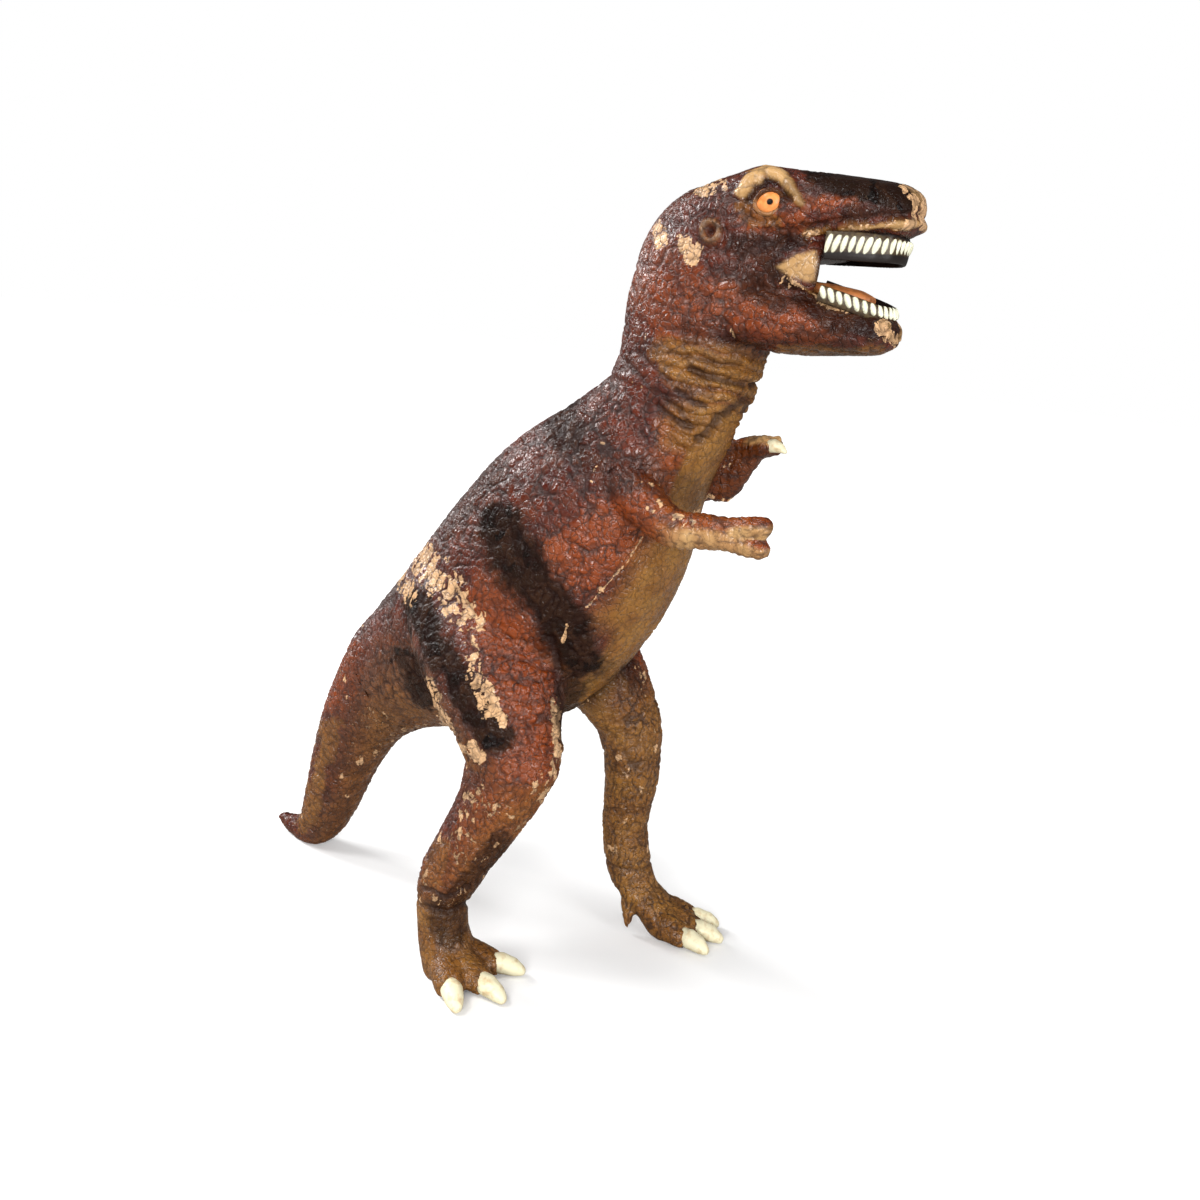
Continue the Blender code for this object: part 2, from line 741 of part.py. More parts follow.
def hip_peg(side, grow):
    """The peg that holds a leg in its half shell, grown for its hole."""
    leg = LEGS[side]
    hip = side_vector(side, *leg["hip"])
    outer = hip.copy()
    outer.y = side * (TORSO_WIDTH / 2 + FIT_GAP)
    inner = outer.copy()
    inner.y = side * (TORSO_WIDTH / 2 - HIP_PEG_LENGTH / 2 - grow)
    return rod("hip peg", inner, outer, HIP_PEG_RADIUS + grow, LIMB_SEGMENTS)


def make_leg(side):
    """A leg cut to the torso's flank, with its hip peg and its ankle socket."""
    leg = LEGS[side]
    made = loft(
        leg["label"] + "_leg",
        leg_stations(side),
        LIMB_SEGMENTS,
        steps=LIMB_STEPS,
        power=ROUND_POWER,
        ends=(0.0, -FIT_GAP),
    )
    cut(made, torso_form("flank", FIT_GAP))
    add(made, hip_peg(side, 0.0))
    ankle = side_vector(side, *leg["ankle"])
    down = Vector((0, 0, -1))
    top = ankle - down * (ANKLE_PEG_LENGTH + FIT_GAP)
    bottom = ankle + down * ANKLE_PEG_LENGTH
    cut(made, rod("ankle socket", top, bottom, ANKLE_PEG_RADIUS + FIT_GAP, SMALL_SEGMENTS))
    return made


def toe_direction(angle):
    """Level direction at an angle to the left of straight ahead."""
    turn = math.radians(angle)
    return Vector((math.cos(turn), math.sin(turn), 0))


def toe_stations(side, index):
    """Sections of a toe from the middle of the foot to where the claw leaves it."""
    leg = LEGS[side]
    ankle = side_vector(side, *leg["ankle"])
    ahead = toe_direction(leg["angles"][index])
    across = Vector((-ahead.y, ahead.x, 0))
    start = leg["set"] * TOE_START_SHARE
    reach = leg["reaches"][index] - CLAW_LENGTH + CLAW_SEAT
    rows = []
    for share, tall, wide, lift in TOE_SHARES:
        centre = ankle + ahead * lerp(start, reach, share)
        centre.z = TOE_HEIGHT * lift
        rows.append(station(centre, (0, 0, 1), across, TOE_HEIGHT * tall / 2, TOE_WIDTH * wide / 2))
    return rows


def claw_stations(side, index):
    """Sections of a toe claw, from its seat in the toe to the tip."""
    leg = LEGS[side]
    ankle = side_vector(side, *leg["ankle"])
    ahead = toe_direction(leg["angles"][index])
    across = Vector((-ahead.y, ahead.x, 0))
    start = leg["reaches"][index] - CLAW_LENGTH
    rows = []
    for share, tall, wide, lift in CLAW_SHARES:
        centre = ankle + ahead * (start + CLAW_LENGTH * share)
        centre.z = CLAW_HEIGHT * lift
        rows.append(station(centre, (0, 0, 1), across, CLAW_HEIGHT * tall / 2, CLAW_WIDTH * wide / 2))
    return rows


def claw_form(name, side, index, grow):
    """A toe claw, grown for its seat."""
    rows = claw_stations(side, index)
    return loft(name, rows, SMALL_SEGMENTS, grow=grow, power=ROUND_POWER, ends=(grow, grow))


def spur_stations(side):
    """Sections of the spur that hangs from the metatarsus."""
    leg = LEGS[side]
    ankle = side_vector(side, *leg["ankle"])
    back = toe_direction(leg["spur"])
    across = Vector((-back.y, back.x, 0))
    root = ankle + back * SPUR_ROOT_REACH
    root.z = ANKLE_HEIGHT * SPUR_ROOT_SHARE
    tip = ankle + back * leg["spur_reach"]
    tip.z = root.z - SPUR_DROP
    rows = []
    for share, size in SPUR_SHARES:
        half = SPUR_WIDTH * size / 2
        rows.append(station(lerp(root, tip, share), back, across, half, half))
    return rows


def make_foot(side):
    """A foot with three toes, a spur at the heel, a flat sole and the ankle peg."""
    leg = LEGS[side]
    ankle = side_vector(side, *leg["ankle"])
    ahead = toe_direction(leg["angles"][1])
    across = Vector((-ahead.y, ahead.x, 0))
    rows = []
    for up, shift, depth, width in FOOT_SHARES:
        centre = Vector((ankle.x, ankle.y, ankle.z * up)) + ahead * (leg["set"] * shift)
        if depth == 0:
            rows.append(station(centre, ahead, across, ANKLE_DEPTH / 2, ANKLE_WIDTH / 2))
        else:
            rows.append(station(centre, ahead, across, FOOT_DEPTH * depth / 2, FOOT_WIDTH * width / 2))
    made = loft(leg["label"] + "_foot", rows, LIMB_SEGMENTS, steps=LIMB_STEPS, power=ROUND_POWER)
    for index in range(3):
        toe = loft("toe", toe_stations(side, index), SMALL_SEGMENTS, steps=LIMB_STEPS, power=BODY_POWER)
        add(made, toe)
    add(made, loft("spur", spur_stations(side), SMALL_SEGMENTS, power=ROUND_POWER))
    half_peg = Vector((0, 0, ANKLE_PEG_LENGTH))
    add(made, rod("ankle peg", ankle - half_peg, ankle + half_peg, ANKLE_PEG_RADIUS, SMALL_SEGMENTS))
    for index in range(3):
        cut(made, claw_form("claw seat", side, index, FIT_GAP))
    slice_off(made, Vector((0, 0, 0)), Vector((0, 0, -1)))
    return made


def arm_joints(side):
    """Shoulder, elbow and wrist of an arm."""
    arm = ARMS[side]
    forward = NECK_SEAM_FORWARD - SHOULDER_SET_BACK
    height = NECK_SEAM_HEIGHT - SHOULDER_DROP
    shoulder = side_vector(side, forward, TORSO_WIDTH * SHOULDER_SPREAD_SHARE, height)
    elbow = shoulder + side_vector(side, *arm["upper_arm"])
    return shoulder, elbow, elbow + side_vector(side, *arm["forearm"])


def arm_stations(side):
    """Sections of an arm from inside the shoulder to the wrist."""
    shoulder, elbow, wrist = arm_joints(side)
    upper = (elbow - shoulder).normalized()
    lower = (wrist - elbow).normalized()
    across = Vector((0, 1, 0))
    upper_size = lerp(SHOULDER_THICKNESS, ELBOW_THICKNESS, UPPER_ARM_TAPER_SHARE)
    lower_size = lerp(ELBOW_THICKNESS, WRIST_THICKNESS, FOREARM_TAPER_SHARE)
    rows = []
    places = (
        (shoulder, upper, SHOULDER_THICKNESS),
        (lerp(shoulder, elbow, UPPER_ARM_SHARE), upper, upper_size),
        (elbow, (upper + lower).normalized(), ELBOW_THICKNESS),
        (lerp(elbow, wrist, FOREARM_SHARE), lower, lower_size),
        (wrist, lower, WRIST_THICKNESS),
    )
    for centre, along, thick in places:
        rows.append(station(centre, across.cross(along), across, thick / 2, thick / 2 * ARM_BREADTH_SHARE))
    return rows


def finger_frame(side):
    """Wrist place, forearm direction and the direction that spreads the fingers."""
    elbow, wrist = arm_joints(side)[1:]
    along = (wrist - elbow).normalized()
    spread = Vector((0, 1, 0)).cross(along).normalized()
    if side > 0:
        along = (along + Vector(LEFT_HAND_TURN)).normalized()
        spread = Vector((0, 1, 0))
    return wrist, along, spread


def finger_tip(side, which):
    """Where a finger ends; which is 1 for the upper and -1 for the lower finger."""
    wrist, along, spread = finger_frame(side)
    tip = wrist + along * ARMS[side]["finger"]
    return tip - spread * (which * FINGER_SPREAD)


def make_arm(side):
    """An arm cut to the chest, with two stubby fingers and a peg into the shell."""
    arm = ARMS[side]
    made = loft(arm["label"] + "_arm", arm_stations(side), ARM_SEGMENTS, steps=LIMB_STEPS, power=ROUND_POWER)
    wrist, along, spread = finger_frame(side)
    across = spread.cross(along)
    for which in (1, -1):
        tip = finger_tip(side, which)
        root = wrist - along * (WRIST_THICKNESS * FINGER_ROOT_SHARE)
        root -= spread * (which * FINGER_SPREAD * FINGER_ROOT_SPREAD_SHARE)
        rows = []
        for share, size in FINGER_SHARES:
            half = FINGER_THICKNESS * size / 2
            rows.append(station(lerp(root, tip, share), spread, across, half, half))
        add(made, loft("finger", rows, SMALL_SEGMENTS, steps=LIMB_STEPS, power=ROUND_POWER))
    cut(made, torso_form("chest", FIT_GAP))
    add(made, arm_peg(side, 0.0))
    return made


def arm_peg(side, grow):
    """The peg of an arm, grown for its hole in the shell."""
    shoulder, elbow = arm_joints(side)[:2]
    along = (elbow - shoulder).normalized()
    outer = lerp(shoulder, elbow, ARM_PEG_SHARE)
    inner = outer - along * (ARM_PEG_LENGTH + SHELL_WALL + grow)
    return rod("arm peg", inner, outer, ARM_PEG_RADIUS + grow, SMALL_SEGMENTS)


def hand_claw_stations():
    """Sections of the ivory claw on the left hand's upper finger."""
    wrist, along, spread = finger_frame(1)
    tip = finger_tip(1, 1)
    start = tip - along * (HAND_CLAW_SEAT + FIT_GAP)
    droop = Vector((0, 0, -HAND_CLAW_WIDTH))
    rows = []
    for share, size, sag in HAND_CLAW_SHARES:
        centre = start + along * (HAND_CLAW_LENGTH * share) + droop * sag
        half = HAND_CLAW_WIDTH * size / 2
        rows.append(station(centre, spread, spread.cross(along), half, half))
    return rows


def hand_claw_form(name, grow):
    """The left hand's claw, grown for its seat."""
    rows = hand_claw_stations()
    return loft(name, rows, SMALL_SEGMENTS, grow=grow, power=ROUND_POWER, ends=(grow, grow))


def make_shells():
    """The two half shells of the torso with the bores for everything that plugs in."""
    whole = torso_form("torso", 0.0)
    seam, axis = seam_frame()
    bore_radius = PLUG_RADIUS + FIT_GAP
    low = seam - axis * (COLLAR_WALL + CUT_OVERRUN)
    cut(whole, rod("neck bore", low, seam + axis * CUT_OVERRUN, bore_radius, BODY_SEGMENTS))
    root, inward = tail_frame()
    rows = torso_stations()
    cavity = loft("cavity", rows, BODY_SEGMENTS, steps=BODY_STEPS, grow=-SHELL_WALL, power=BODY_POWER)
    slice_off(cavity, seam - axis * COLLAR_WALL, axis)
    slice_off(cavity, root + inward * RUMP_WALL, -inward)
    cut(whole, cavity)
    bore_radius = TAIL_PEG_RADIUS + FIT_GAP
    deep = root + inward * (RUMP_WALL + CUT_OVERRUN)
    cut(whole, rod("tail bore", root - inward * CUT_OVERRUN, deep, bore_radius, LIMB_SEGMENTS))
    for side in (-1, 1):
        cut(whole, hip_peg(side, FIT_GAP))
        cut(whole, arm_peg(side, FIT_GAP))
    made = []
    for side, label in ((-1, "torso_right_shell"), (1, "torso_left_shell")):
        half = whole.copy()
        half.data = whole.data.copy()
        half.name = label
        bpy.context.collection.objects.link(half)
        slice_off(half, Vector((0, side * FIT_GAP / 2, 0)), Vector((0, -side, 0)))
        made.append(half)
    bpy.data.objects.remove(whole)
    return made


def make_tail():
    """The tail with its peg, worn flat where it rests on the ground."""
    rows = tail_stations()
    made = loft("tail", rows, JAW_SEGMENTS, steps=LIMB_STEPS, power=BODY_POWER, ends=(-FIT_GAP, 0.0))
    root, inward = tail_frame()
    start = root - inward * TAIL_PEG_LENGTH
    add(made, rod("tail peg", start, root + inward * TAIL_PEG_LENGTH, TAIL_PEG_RADIUS, LIMB_SEGMENTS))
    slice_off(made, Vector((0, 0, 0)), Vector((0, 0, -1)))
    return made


def row_places(stations, shares, rise):
    """Places along one side of a tooth row."""
    table = smooth_stations(stations, FINE_STEPS)
    low = table[0]["centre"].x
    high = table[-1]["centre"].x
    line = []
    for share in shares:
        forward = lerp(low, high, share)
        row = min(table, key=lambda item: abs(item["centre"].x - forward))
        spread = max(row["width"] - TOOTH_ROW_INSET, GUM_WIDTH)
        level = row["centre"].z + rise * row["depth"]
        line.append(Vector((forward, spread, level)))
    return line


def tooth_row(stations, shares, rise):
    """Sections of a horseshoe gum strip; rise is 1 for the lower jaw and -1 for the upper."""
    side_line = row_places(stations, shares, rise)
    front = side_line[-1].copy()
    front.x += front.y * ROW_FRONT_SHARE
    front.y = 0
    right_line = [Vector((p.x, -p.y, p.z)) for p in side_line]
    path = right_line + [front] + side_line[::-1]
    rows = []
    for index, place in enumerate(path):
        before = path[max(index - 1, 0)]
        after = path[min(index + 1, len(path) - 1)]
        along = after - before
        along.z = 0
        along.normalize()
        across = Vector((-along.y, along.x, 0))
        rows.append(station(place, (0, 0, 1), across, GUM_HEIGHT / 2, GUM_WIDTH / 2))
    return rows


def teeth_form(name, rows, count, rise, length):
    """All the teeth of a row as small pegs standing in the gum strip."""
    fine = smooth_stations(rows, FINE_STEPS)
    marks = [0.0]
    for index in range(1, len(fine)):
        marks.append(marks[-1] + (fine[index]["centre"] - fine[index - 1]["centre"]).length)
    total = marks[-1]
    pitch = total / (count * 2)
    form = bmesh.new()
    for index in range(count * 2):
        goal = pitch * (index + 0.5)
        spot = max(i for i, mark in enumerate(marks) if mark <= goal)
        row = fine[spot]
        along = row["front"].cross(row["side"]).normalized()
        turn = Matrix((along, row["side"], Vector((0, 0, 1)))).transposed().to_4x4()
        place = Matrix.Translation(row["centre"] + Vector((0, 0, rise * length * TOOTH_RISE_SHARE)))
        size = min(TOOTH_WIDTH, pitch * TOOTH_PITCH_SHARE)
        shape = Matrix.Diagonal((size / GUM_WIDTH, TOOTH_THICK_SHARE, rise, 1))
        bmesh.ops.create_cone(
            form,
            cap_ends=True,
            segments=TOOTH_SEGMENTS,
            radius1=GUM_WIDTH / 2,
            radius2=GUM_WIDTH / 2 * TOOTH_TIP_SHARE,
            depth=length,
            matrix=place @ turn @ shape,
        )
    bmesh.ops.recalc_face_normals(form, faces=form.faces[:])
    return finish_form(name, form)


def gum_form(name, rows, grow):
    """A gum strip, grown for its groove."""
    ends = (grow, grow)
    return loft(name, rows, TOOTH_SEGMENTS, steps=GUM_STEPS, grow=grow, power=BODY_POWER, ends=ends)


def palate_stations():
    """Sections of the roof of the mouth between the upper tooth rows."""
    table = smooth_stations(muzzle_stations(), FINE_STEPS)
    rows = []
    for share, thin in PALATE_SHARES:
        forward = head_forward(MUZZLE_START_SHARE) + MUZZLE_LENGTH * share
        row = min(table, key=lambda item: abs(item["centre"].x - forward))
        low = row["centre"].z - row["depth"]
        centre = (forward, 0, low + PALATE_THICKNESS * PALATE_SINK_SHARE)
        half_width = max(row["width"] - PALATE_INSET, GUM_WIDTH)
        rows.append(station(centre, (0, 0, 1), (0, 1, 0), PALATE_THICKNESS * thin / 2, half_width))
    return rows


def tongue_stations():
    """Sections of the floor of the mouth between the lower tooth rows."""
    table = smooth_stations(jaw_stations(), FINE_STEPS)
    rows = []
    for share, tall, wide in TONGUE_SHARES:
        forward = head_forward(JAW_START_SHARE) + JAW_LENGTH * share
        row = min(table, key=lambda item: abs(item["centre"].x - forward))
        centre = (forward, 0, row["centre"].z + row["depth"])
        rows.append(station(centre, (0, 0, 1), (0, 1, 0), TONGUE_HEIGHT * tall / 2, TONGUE_WIDTH * wide / 2))
    return rows


def jaw_peg(grow):
    """The tenon that holds the lower jaw in the head."""
    start = Vector((head_forward(JAW_PEG_SHARE), 0, jaw_line()))
    reach = Vector((JAW_PEG_LENGTH, 0, 0))
    tip = start - reach - Vector((grow, 0, 0))
    return rod("jaw peg", tip, start + reach, JAW_PEG_RADIUS + grow, SMALL_SEGMENTS)


def eye_place(side):
    """The middle of an eye ball."""
    height = NECK_SEAM_HEIGHT + SKULL_HEIGHT * EYE_HEIGHT_SHARE
    return side_vector(side, head_forward(EYE_AHEAD_SHARE), EYE_SPREAD, height)


def plain_loft(name, stations, grow):
    """A small form in the mouth, grown for its recess."""
    ends = (grow, grow)
    return loft(name, stations, SMALL_SEGMENTS, steps=LIMB_STEPS, grow=grow, power=BODY_POWER, ends=ends)


def cheek_form(name, grow):
    """The cheek between the jaws, grown for a cutter."""
    ends = (grow, grow)
    rows = cheek_stations()
    return loft(name, rows, LIMB_SEGMENTS, steps=LIMB_STEPS, grow=grow, power=MUZZLE_POWER, ends=ends)


def make_head():
    """The head shell, the lower jaw, teeth, mouth and eyes."""
    upper_rows = tooth_row(muzzle_stations(), UPPER_ROW_SHARES, -1)
    lower_rows = tooth_row(jaw_stations(), LOWER_ROW_SHARES, 1)
    head = skull_form("head_shell", 0.0)
    add(head, loft("muzzle", muzzle_stations(), BODY_SEGMENTS, steps=BODY_STEPS, power=MUZZLE_POWER))
    add(head, cheek_form("cheek", 0.0))
    rows = skull_stations()[:5]
    seam, axis = seam_frame()
    cavity = loft("head cavity", rows, BODY_SEGMENTS, steps=BODY_STEPS, grow=-HEAD_WALL, power=ROUND_POWER)
    slice_off(cavity, seam + axis * HEAD_WALL, -axis)
    cut(head, cavity)
    top = seam + axis * (PLUG_RISE + FIT_GAP)
    cut(head, rod("plug socket", seam - axis * CUT_OVERRUN, top, PLUG_RADIUS + FIT_GAP, BODY_SEGMENTS))
    cut(head, jaw_peg(FIT_GAP))
    for side in (-1, 1):
        cut(head, ball("eye socket", eye_place(side), EYE_RADIUS + FIT_GAP, LIMB_SEGMENTS))
    cut(head, gum_form("upper groove", upper_rows, FIT_GAP))
    cut(head, plain_loft("palate recess", palate_stations(), FIT_GAP))

    jaw = loft("lower_jaw", jaw_stations(), JAW_SEGMENTS, steps=LIMB_STEPS, power=MUZZLE_POWER)
    cut(jaw, skull_form("skull front", FIT_GAP))
    cut(jaw, cheek_form("cheek front", FIT_GAP))
    add(jaw, jaw_peg(0.0))
    cut(jaw, gum_form("lower groove", lower_rows, FIT_GAP))
    cut(jaw, plain_loft("tongue recess", tongue_stations(), FIT_GAP))

    upper = gum_form("upper_teeth", upper_rows, 0.0)
    lower = gum_form("lower_teeth", lower_rows, 0.0)
    palate = plain_loft("palate", palate_stations(), 0.0)
    tongue = plain_loft("mouth_floor", tongue_stations(), 0.0)
    for piece in (upper, lower, tongue):
        cut(piece, cheek_form("cheek front", FIT_GAP))
    add(upper, teeth_form("teeth", upper_rows, UPPER_TOOTH_COUNT, -1, UPPER_TOOTH_LENGTH))
    add(lower, teeth_form("teeth", lower_rows, LOWER_TOOTH_COUNT, 1, LOWER_TOOTH_LENGTH))
    right_eye = ball("right_eye", eye_place(-1), EYE_RADIUS, LIMB_SEGMENTS)
    left_eye = ball("left_eye", eye_place(1), EYE_RADIUS, LIMB_SEGMENTS)
    return [head, jaw, upper, lower, palate, tongue, right_eye, left_eye]


def make_plug():
    """The neck plug: its stem sits in the head, its flange turns inside the torso."""
    seam, axis = seam_frame()
    top = seam + axis * PLUG_RISE
    flange_top = seam - axis * (COLLAR_WALL + FIT_GAP)
    flange_low = flange_top - axis * PLUG_FLANGE_HEIGHT
    middle = lerp(flange_top, flange_low, 0.5)
    made = rod("neck_plug", middle, top, PLUG_RADIUS, BODY_SEGMENTS)
    return add(made, rod("flange", flange_low, flange_top, PLUG_FLANGE_RADIUS, BODY_SEGMENTS))


def material(name, colour, roughness, metallic=0.0):
    """A plain paint or plastic."""
    made = bpy.data.materials.new(name)
    made.use_nodes = True
    shader = made.node_tree.nodes["Principled BSDF"]
    shader.inputs["Base Color"].default_value = (*colour, 1)
    shader.inputs["Roughness"].default_value = roughness
    shader.inputs["Metallic"].default_value = metallic
    made.diffuse_color = (*colour, 1)
    return made


def dress(piece, finish):
    """Give a piece its material and smooth its rounded sides."""
    piece.data.materials.clear()
    piece.data.materials.append(finish)
    for face in piece.data.polygons:
        face.material_index = 0
    piece.data.shade_smooth()
    piece.data.set_sharp_from_angle(angle=math.radians(35))


def settle(piece, pivot_matrix, parent):
    """Hang a piece on its parent with its own origin at its middle."""
    local = pivot_matrix.inverted()
    piece.data.transform(local)
    corners = [vertex.co for vertex in piece.data.vertices]
    low = Vector([min(corner[axis] for corner in corners) for axis in range(3)])
    high = Vector([max(corner[axis] for corner in corners) for axis in range(3)])
    middle = (low + high) / 2
    piece.data.transform(Matrix.Translation(-middle))
    piece.location = middle
    piece.parent = parent


def build():
    """Make every piece, dress it and stand the figure on the ground."""
    for old in list(bpy.data.objects):
        bpy.data.objects.remove(old)

    body_skin = material("painted brown skin", (0.105, 0.040, 0.024), 0.42)
    leg_skin = material("painted tan brown skin", (0.195, 0.105, 0.052), 0.48)
    arm_skin = material("painted orange brown skin", (0.270, 0.110, 0.045), 0.45)
    head_skin = material("painted dark brown skin", (0.090, 0.035, 0.022), 0.42)
    ivory = material("painted ivory", (0.800, 0.720, 0.500), 0.40)
    tooth_white = material("painted tooth white", (0.820, 0.830, 0.640), 0.38)
    mouth_dark = material("painted mouth roof", (0.018, 0.009, 0.007), 0.50)
    mouth_orange = material("painted mouth floor", (0.480, 0.170, 0.050), 0.50)
    eye_orange = material("painted eye orange", (0.800, 0.280, 0.070), 0.25)
    bare_plastic = material("bare beige vinyl", (0.680, 0.450, 0.290), 0.55)

    root = bpy.data.objects.new("figure_root", None)
    bpy.context.collection.objects.link(root)
    seam, axis = seam_frame()
    tilt = Vector((0, 0, 1)).rotation_difference(axis).to_matrix().to_4x4()
    pivot_matrix = Matrix.Translation(seam) @ tilt
    pivot = bpy.data.objects.new("neck_axis", None)
    bpy.context.collection.objects.link(pivot)
    pivot.parent = root
    pivot.matrix_local = pivot_matrix

    body = []
    for shell in make_shells():
        body.append((shell, body_skin))
    body.append((make_tail(), body_skin))
    for side in (-1, 1):
        label = LEGS[side]["label"]
        body.append((make_leg(side), leg_skin))
        body.append((make_foot(side), leg_skin))
        for index, place in enumerate(("outer", "middle", "inner")):
            claw = claw_form(label + "_" + place + "_claw", side, index, 0.0)
            body.append((claw, ivory))
    right_arm = make_arm(-1)
    left_arm = make_arm(1)
    cut(left_arm, hand_claw_form("hand claw seat", FIT_GAP))
    hand_claw = hand_claw_form("left_hand_claw", 0.0)
    body.append((right_arm, arm_skin))
    body.append((left_arm, arm_skin))
    body.append((hand_claw, ivory))
    head_finishes = (head_skin, head_skin, tooth_white, tooth_white)
    head_finishes += (mouth_dark, mouth_orange, eye_orange, eye_orange)
    head = list(zip(make_head(), head_finishes))
    head.append((make_plug(), bare_plastic))

    for piece, finish in body:
        dress(piece, finish)
        settle(piece, Matrix.Identity(4), root)
    for piece, finish in head:
        dress(piece, finish)
        settle(piece, pivot_matrix, pivot)

    bpy.context.view_layer.update()
    places = []
    for piece, finish in body + head:
        places += [piece.matrix_world @ vertex.co for vertex in piece.data.vertices]
    low = Vector([min(place[index] for place in places) for index in range(3)])
    high = Vector([max(place[index] for place in places) for index in range(3)])
    middle = (low + high) / 2
    root.location = (-middle.x, -middle.y, -low.z)


build()
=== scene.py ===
"""Looks of the toy dinosaur figure: hide, teeth, claws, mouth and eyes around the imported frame."""
import math
from types import SimpleNamespace

import bmesh
import bpy
import numpy as np
from mathutils import Matrix, Vector
from mathutils.bvhtree import BVHTree


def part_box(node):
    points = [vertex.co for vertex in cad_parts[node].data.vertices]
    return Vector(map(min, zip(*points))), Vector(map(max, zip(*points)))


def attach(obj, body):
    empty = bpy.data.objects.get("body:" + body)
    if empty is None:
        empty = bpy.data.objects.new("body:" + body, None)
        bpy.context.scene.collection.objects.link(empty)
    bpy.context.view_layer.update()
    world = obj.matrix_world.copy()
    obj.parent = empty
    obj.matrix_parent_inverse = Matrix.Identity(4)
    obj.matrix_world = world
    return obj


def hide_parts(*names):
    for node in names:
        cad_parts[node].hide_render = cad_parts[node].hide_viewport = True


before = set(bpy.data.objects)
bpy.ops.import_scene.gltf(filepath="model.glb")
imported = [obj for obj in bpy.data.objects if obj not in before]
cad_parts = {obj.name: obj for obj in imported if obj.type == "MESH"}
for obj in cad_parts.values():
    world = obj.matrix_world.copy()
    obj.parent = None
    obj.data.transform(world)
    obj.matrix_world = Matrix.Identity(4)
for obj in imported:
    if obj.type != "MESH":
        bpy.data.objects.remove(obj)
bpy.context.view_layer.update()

MM = 0.001

# The photograph's camera in the row frame, and its focal length for a 1200 pixel picture
PHOTO_SIZE = 1200
PHOTO_FOCAL = 1184
PHOTO_EYE = np.array((200.217, -286.340, 199.044)) * MM
PHOTO_RIGHT = np.array((0.83538791, 0.54022246, 0.10142352))
PHOTO_UP = np.array((-0.21466064, 0.15077714, 0.96498034))
PHOTO_BACK = np.array((0.50601171, -0.82790455, 0.2419219))
SENSOR = 36

# The figure's middle plane, its neck seam and its ankle seams
MIDDLE_Y = 0.82 * MM
NECK_PLACE = np.array((43.3, 0.8, 178.5)) * MM
NECK_AXIS = np.array((0.121869, 0, 0.992546))
ANKLE_HEIGHT = 22 * MM

# Mesh sizes, the skin's before its one subdivision, and how far the core lies inside the skin
SKIN_GRID = 0.86 * MM
CORE_GRID = 2.4 * MM
CORE_SET_IN = 1.5 * MM
SEAM_SET_IN = 0.25 * MM
CLAW_GRID = 0.35 * MM
TOOTH_GRID = 0.2 * MM
SAME_PLACE = 0.001 * MM

BODY_NODES = (
    "torso_right_shell",
    "torso_left_shell",
    "tail",
    "right_leg",
    "left_leg",
    "right_foot",
    "left_foot",
    "right_arm",
    "left_arm",
)
HEAD_NODES = ("head_shell", "lower_jaw")
NECK_FILL = ("neck_plug",)
CLAW_NODES = (
    "right_outer_claw",
    "right_middle_claw",
    "right_inner_claw",
    "left_outer_claw",
    "left_middle_claw",
    "left_inner_claw",
    "left_hand_claw",
)

# Paint and wear of the body, with a painted shadow and a painted highlight among them, seen in the
# photograph: lines in its pixels, a radius in pixels and a strength
DARK_STROKES = (
    (((560, 408), (568, 434)), 22, 0.85),
    (((445, 522), (490, 470)), 18, 0.5),
    (((567, 402), (596, 440), (618, 487)), 16, 0.45),
    (((580, 452), (640, 472), (690, 494)), 18, 0.45),
    (((500, 528), (522, 570), (558, 618), (582, 660)), 26, 1.0),
    # painted shadow in the hollow along the thigh's front edge
    (((572, 650), (570, 722)), 15, 0.85),
    (((416, 607), (440, 650), (468, 698), (496, 738)), 17, 1.0),
    (((404, 658), (426, 694)), 12, 0.95),
    (((385, 600), (398, 590)), 10, 0.5),
    (((500, 850), (470, 885), (448, 905), (446, 935)), 17, 0.75),
)
WARM_STROKES = (
    (((500, 600), (520, 660), (540, 720), (535, 770), (500, 820)), 34, 0.8),
    (((575, 560), (600, 540), (640, 520)), 34, 0.9),
    (((655, 500), (700, 530), (745, 530)), 20, 0.9),
    (((330, 700), (345, 650)), 16, 0.6),
    (((490, 830), (450, 880)), 26, 0.55),
    (((670, 430), (690, 470)), 14, 0.7),
)
BELLY_STROKE = (((716, 440), (705, 500), (700, 545), (672, 600), (640, 650), (600, 720), (560, 745)), 52, 1.0)
THROAT_TAN = (((690, 425), (700, 470), (690, 500)), 22, 0.8)
TAN_STROKES = (
    (((332, 724), (318, 780), (308, 824)), 10, 0.7),
    (((395, 745), (360, 785), (330, 835)), 22, 0.45),
    (((440, 930), (440, 990), (480, 990)), 40, 0.7),
    (((440, 850), (428, 900)), 12, 0.5),
)
WEAR_AND_SHEEN_STROKES = (
    (((424, 560), (440, 580), (462, 610)), 19, 0.6),
    (((440, 578), (478, 622)), 12, 0.5),
    (((470, 640), (476, 680), (488, 712)), 8, 0.68),
    (((430, 680), (440, 706), (455, 745), (476, 756)), 4.5, 0.8),
    (((471, 746), (480, 758)), 6, 1.0),
    (((488, 690), (503, 724)), 4, 0.9),
    # painted highlight, not wear: a faint patch of pale plates for the shoulder's sheen
    (((600, 462), (640, 480)), 22, 0.14),
    (((655, 505), (690, 528)), 9, 0.3),
    (((556, 700), (558, 760), (540, 800)), 6, 0.6),
    (((463, 835), (470, 800)), 8, 0.4),
    (((480, 800), (530, 790)), 22, 0.16),
    (((400, 560), (410, 600)), 7, 0.6),
)
SCRATCHES = (
    (((643, 537), (628, 560), (587, 607)), 1.0, 0.58),
    (((567, 625), (563, 642)), 1.6, 1.0),
)

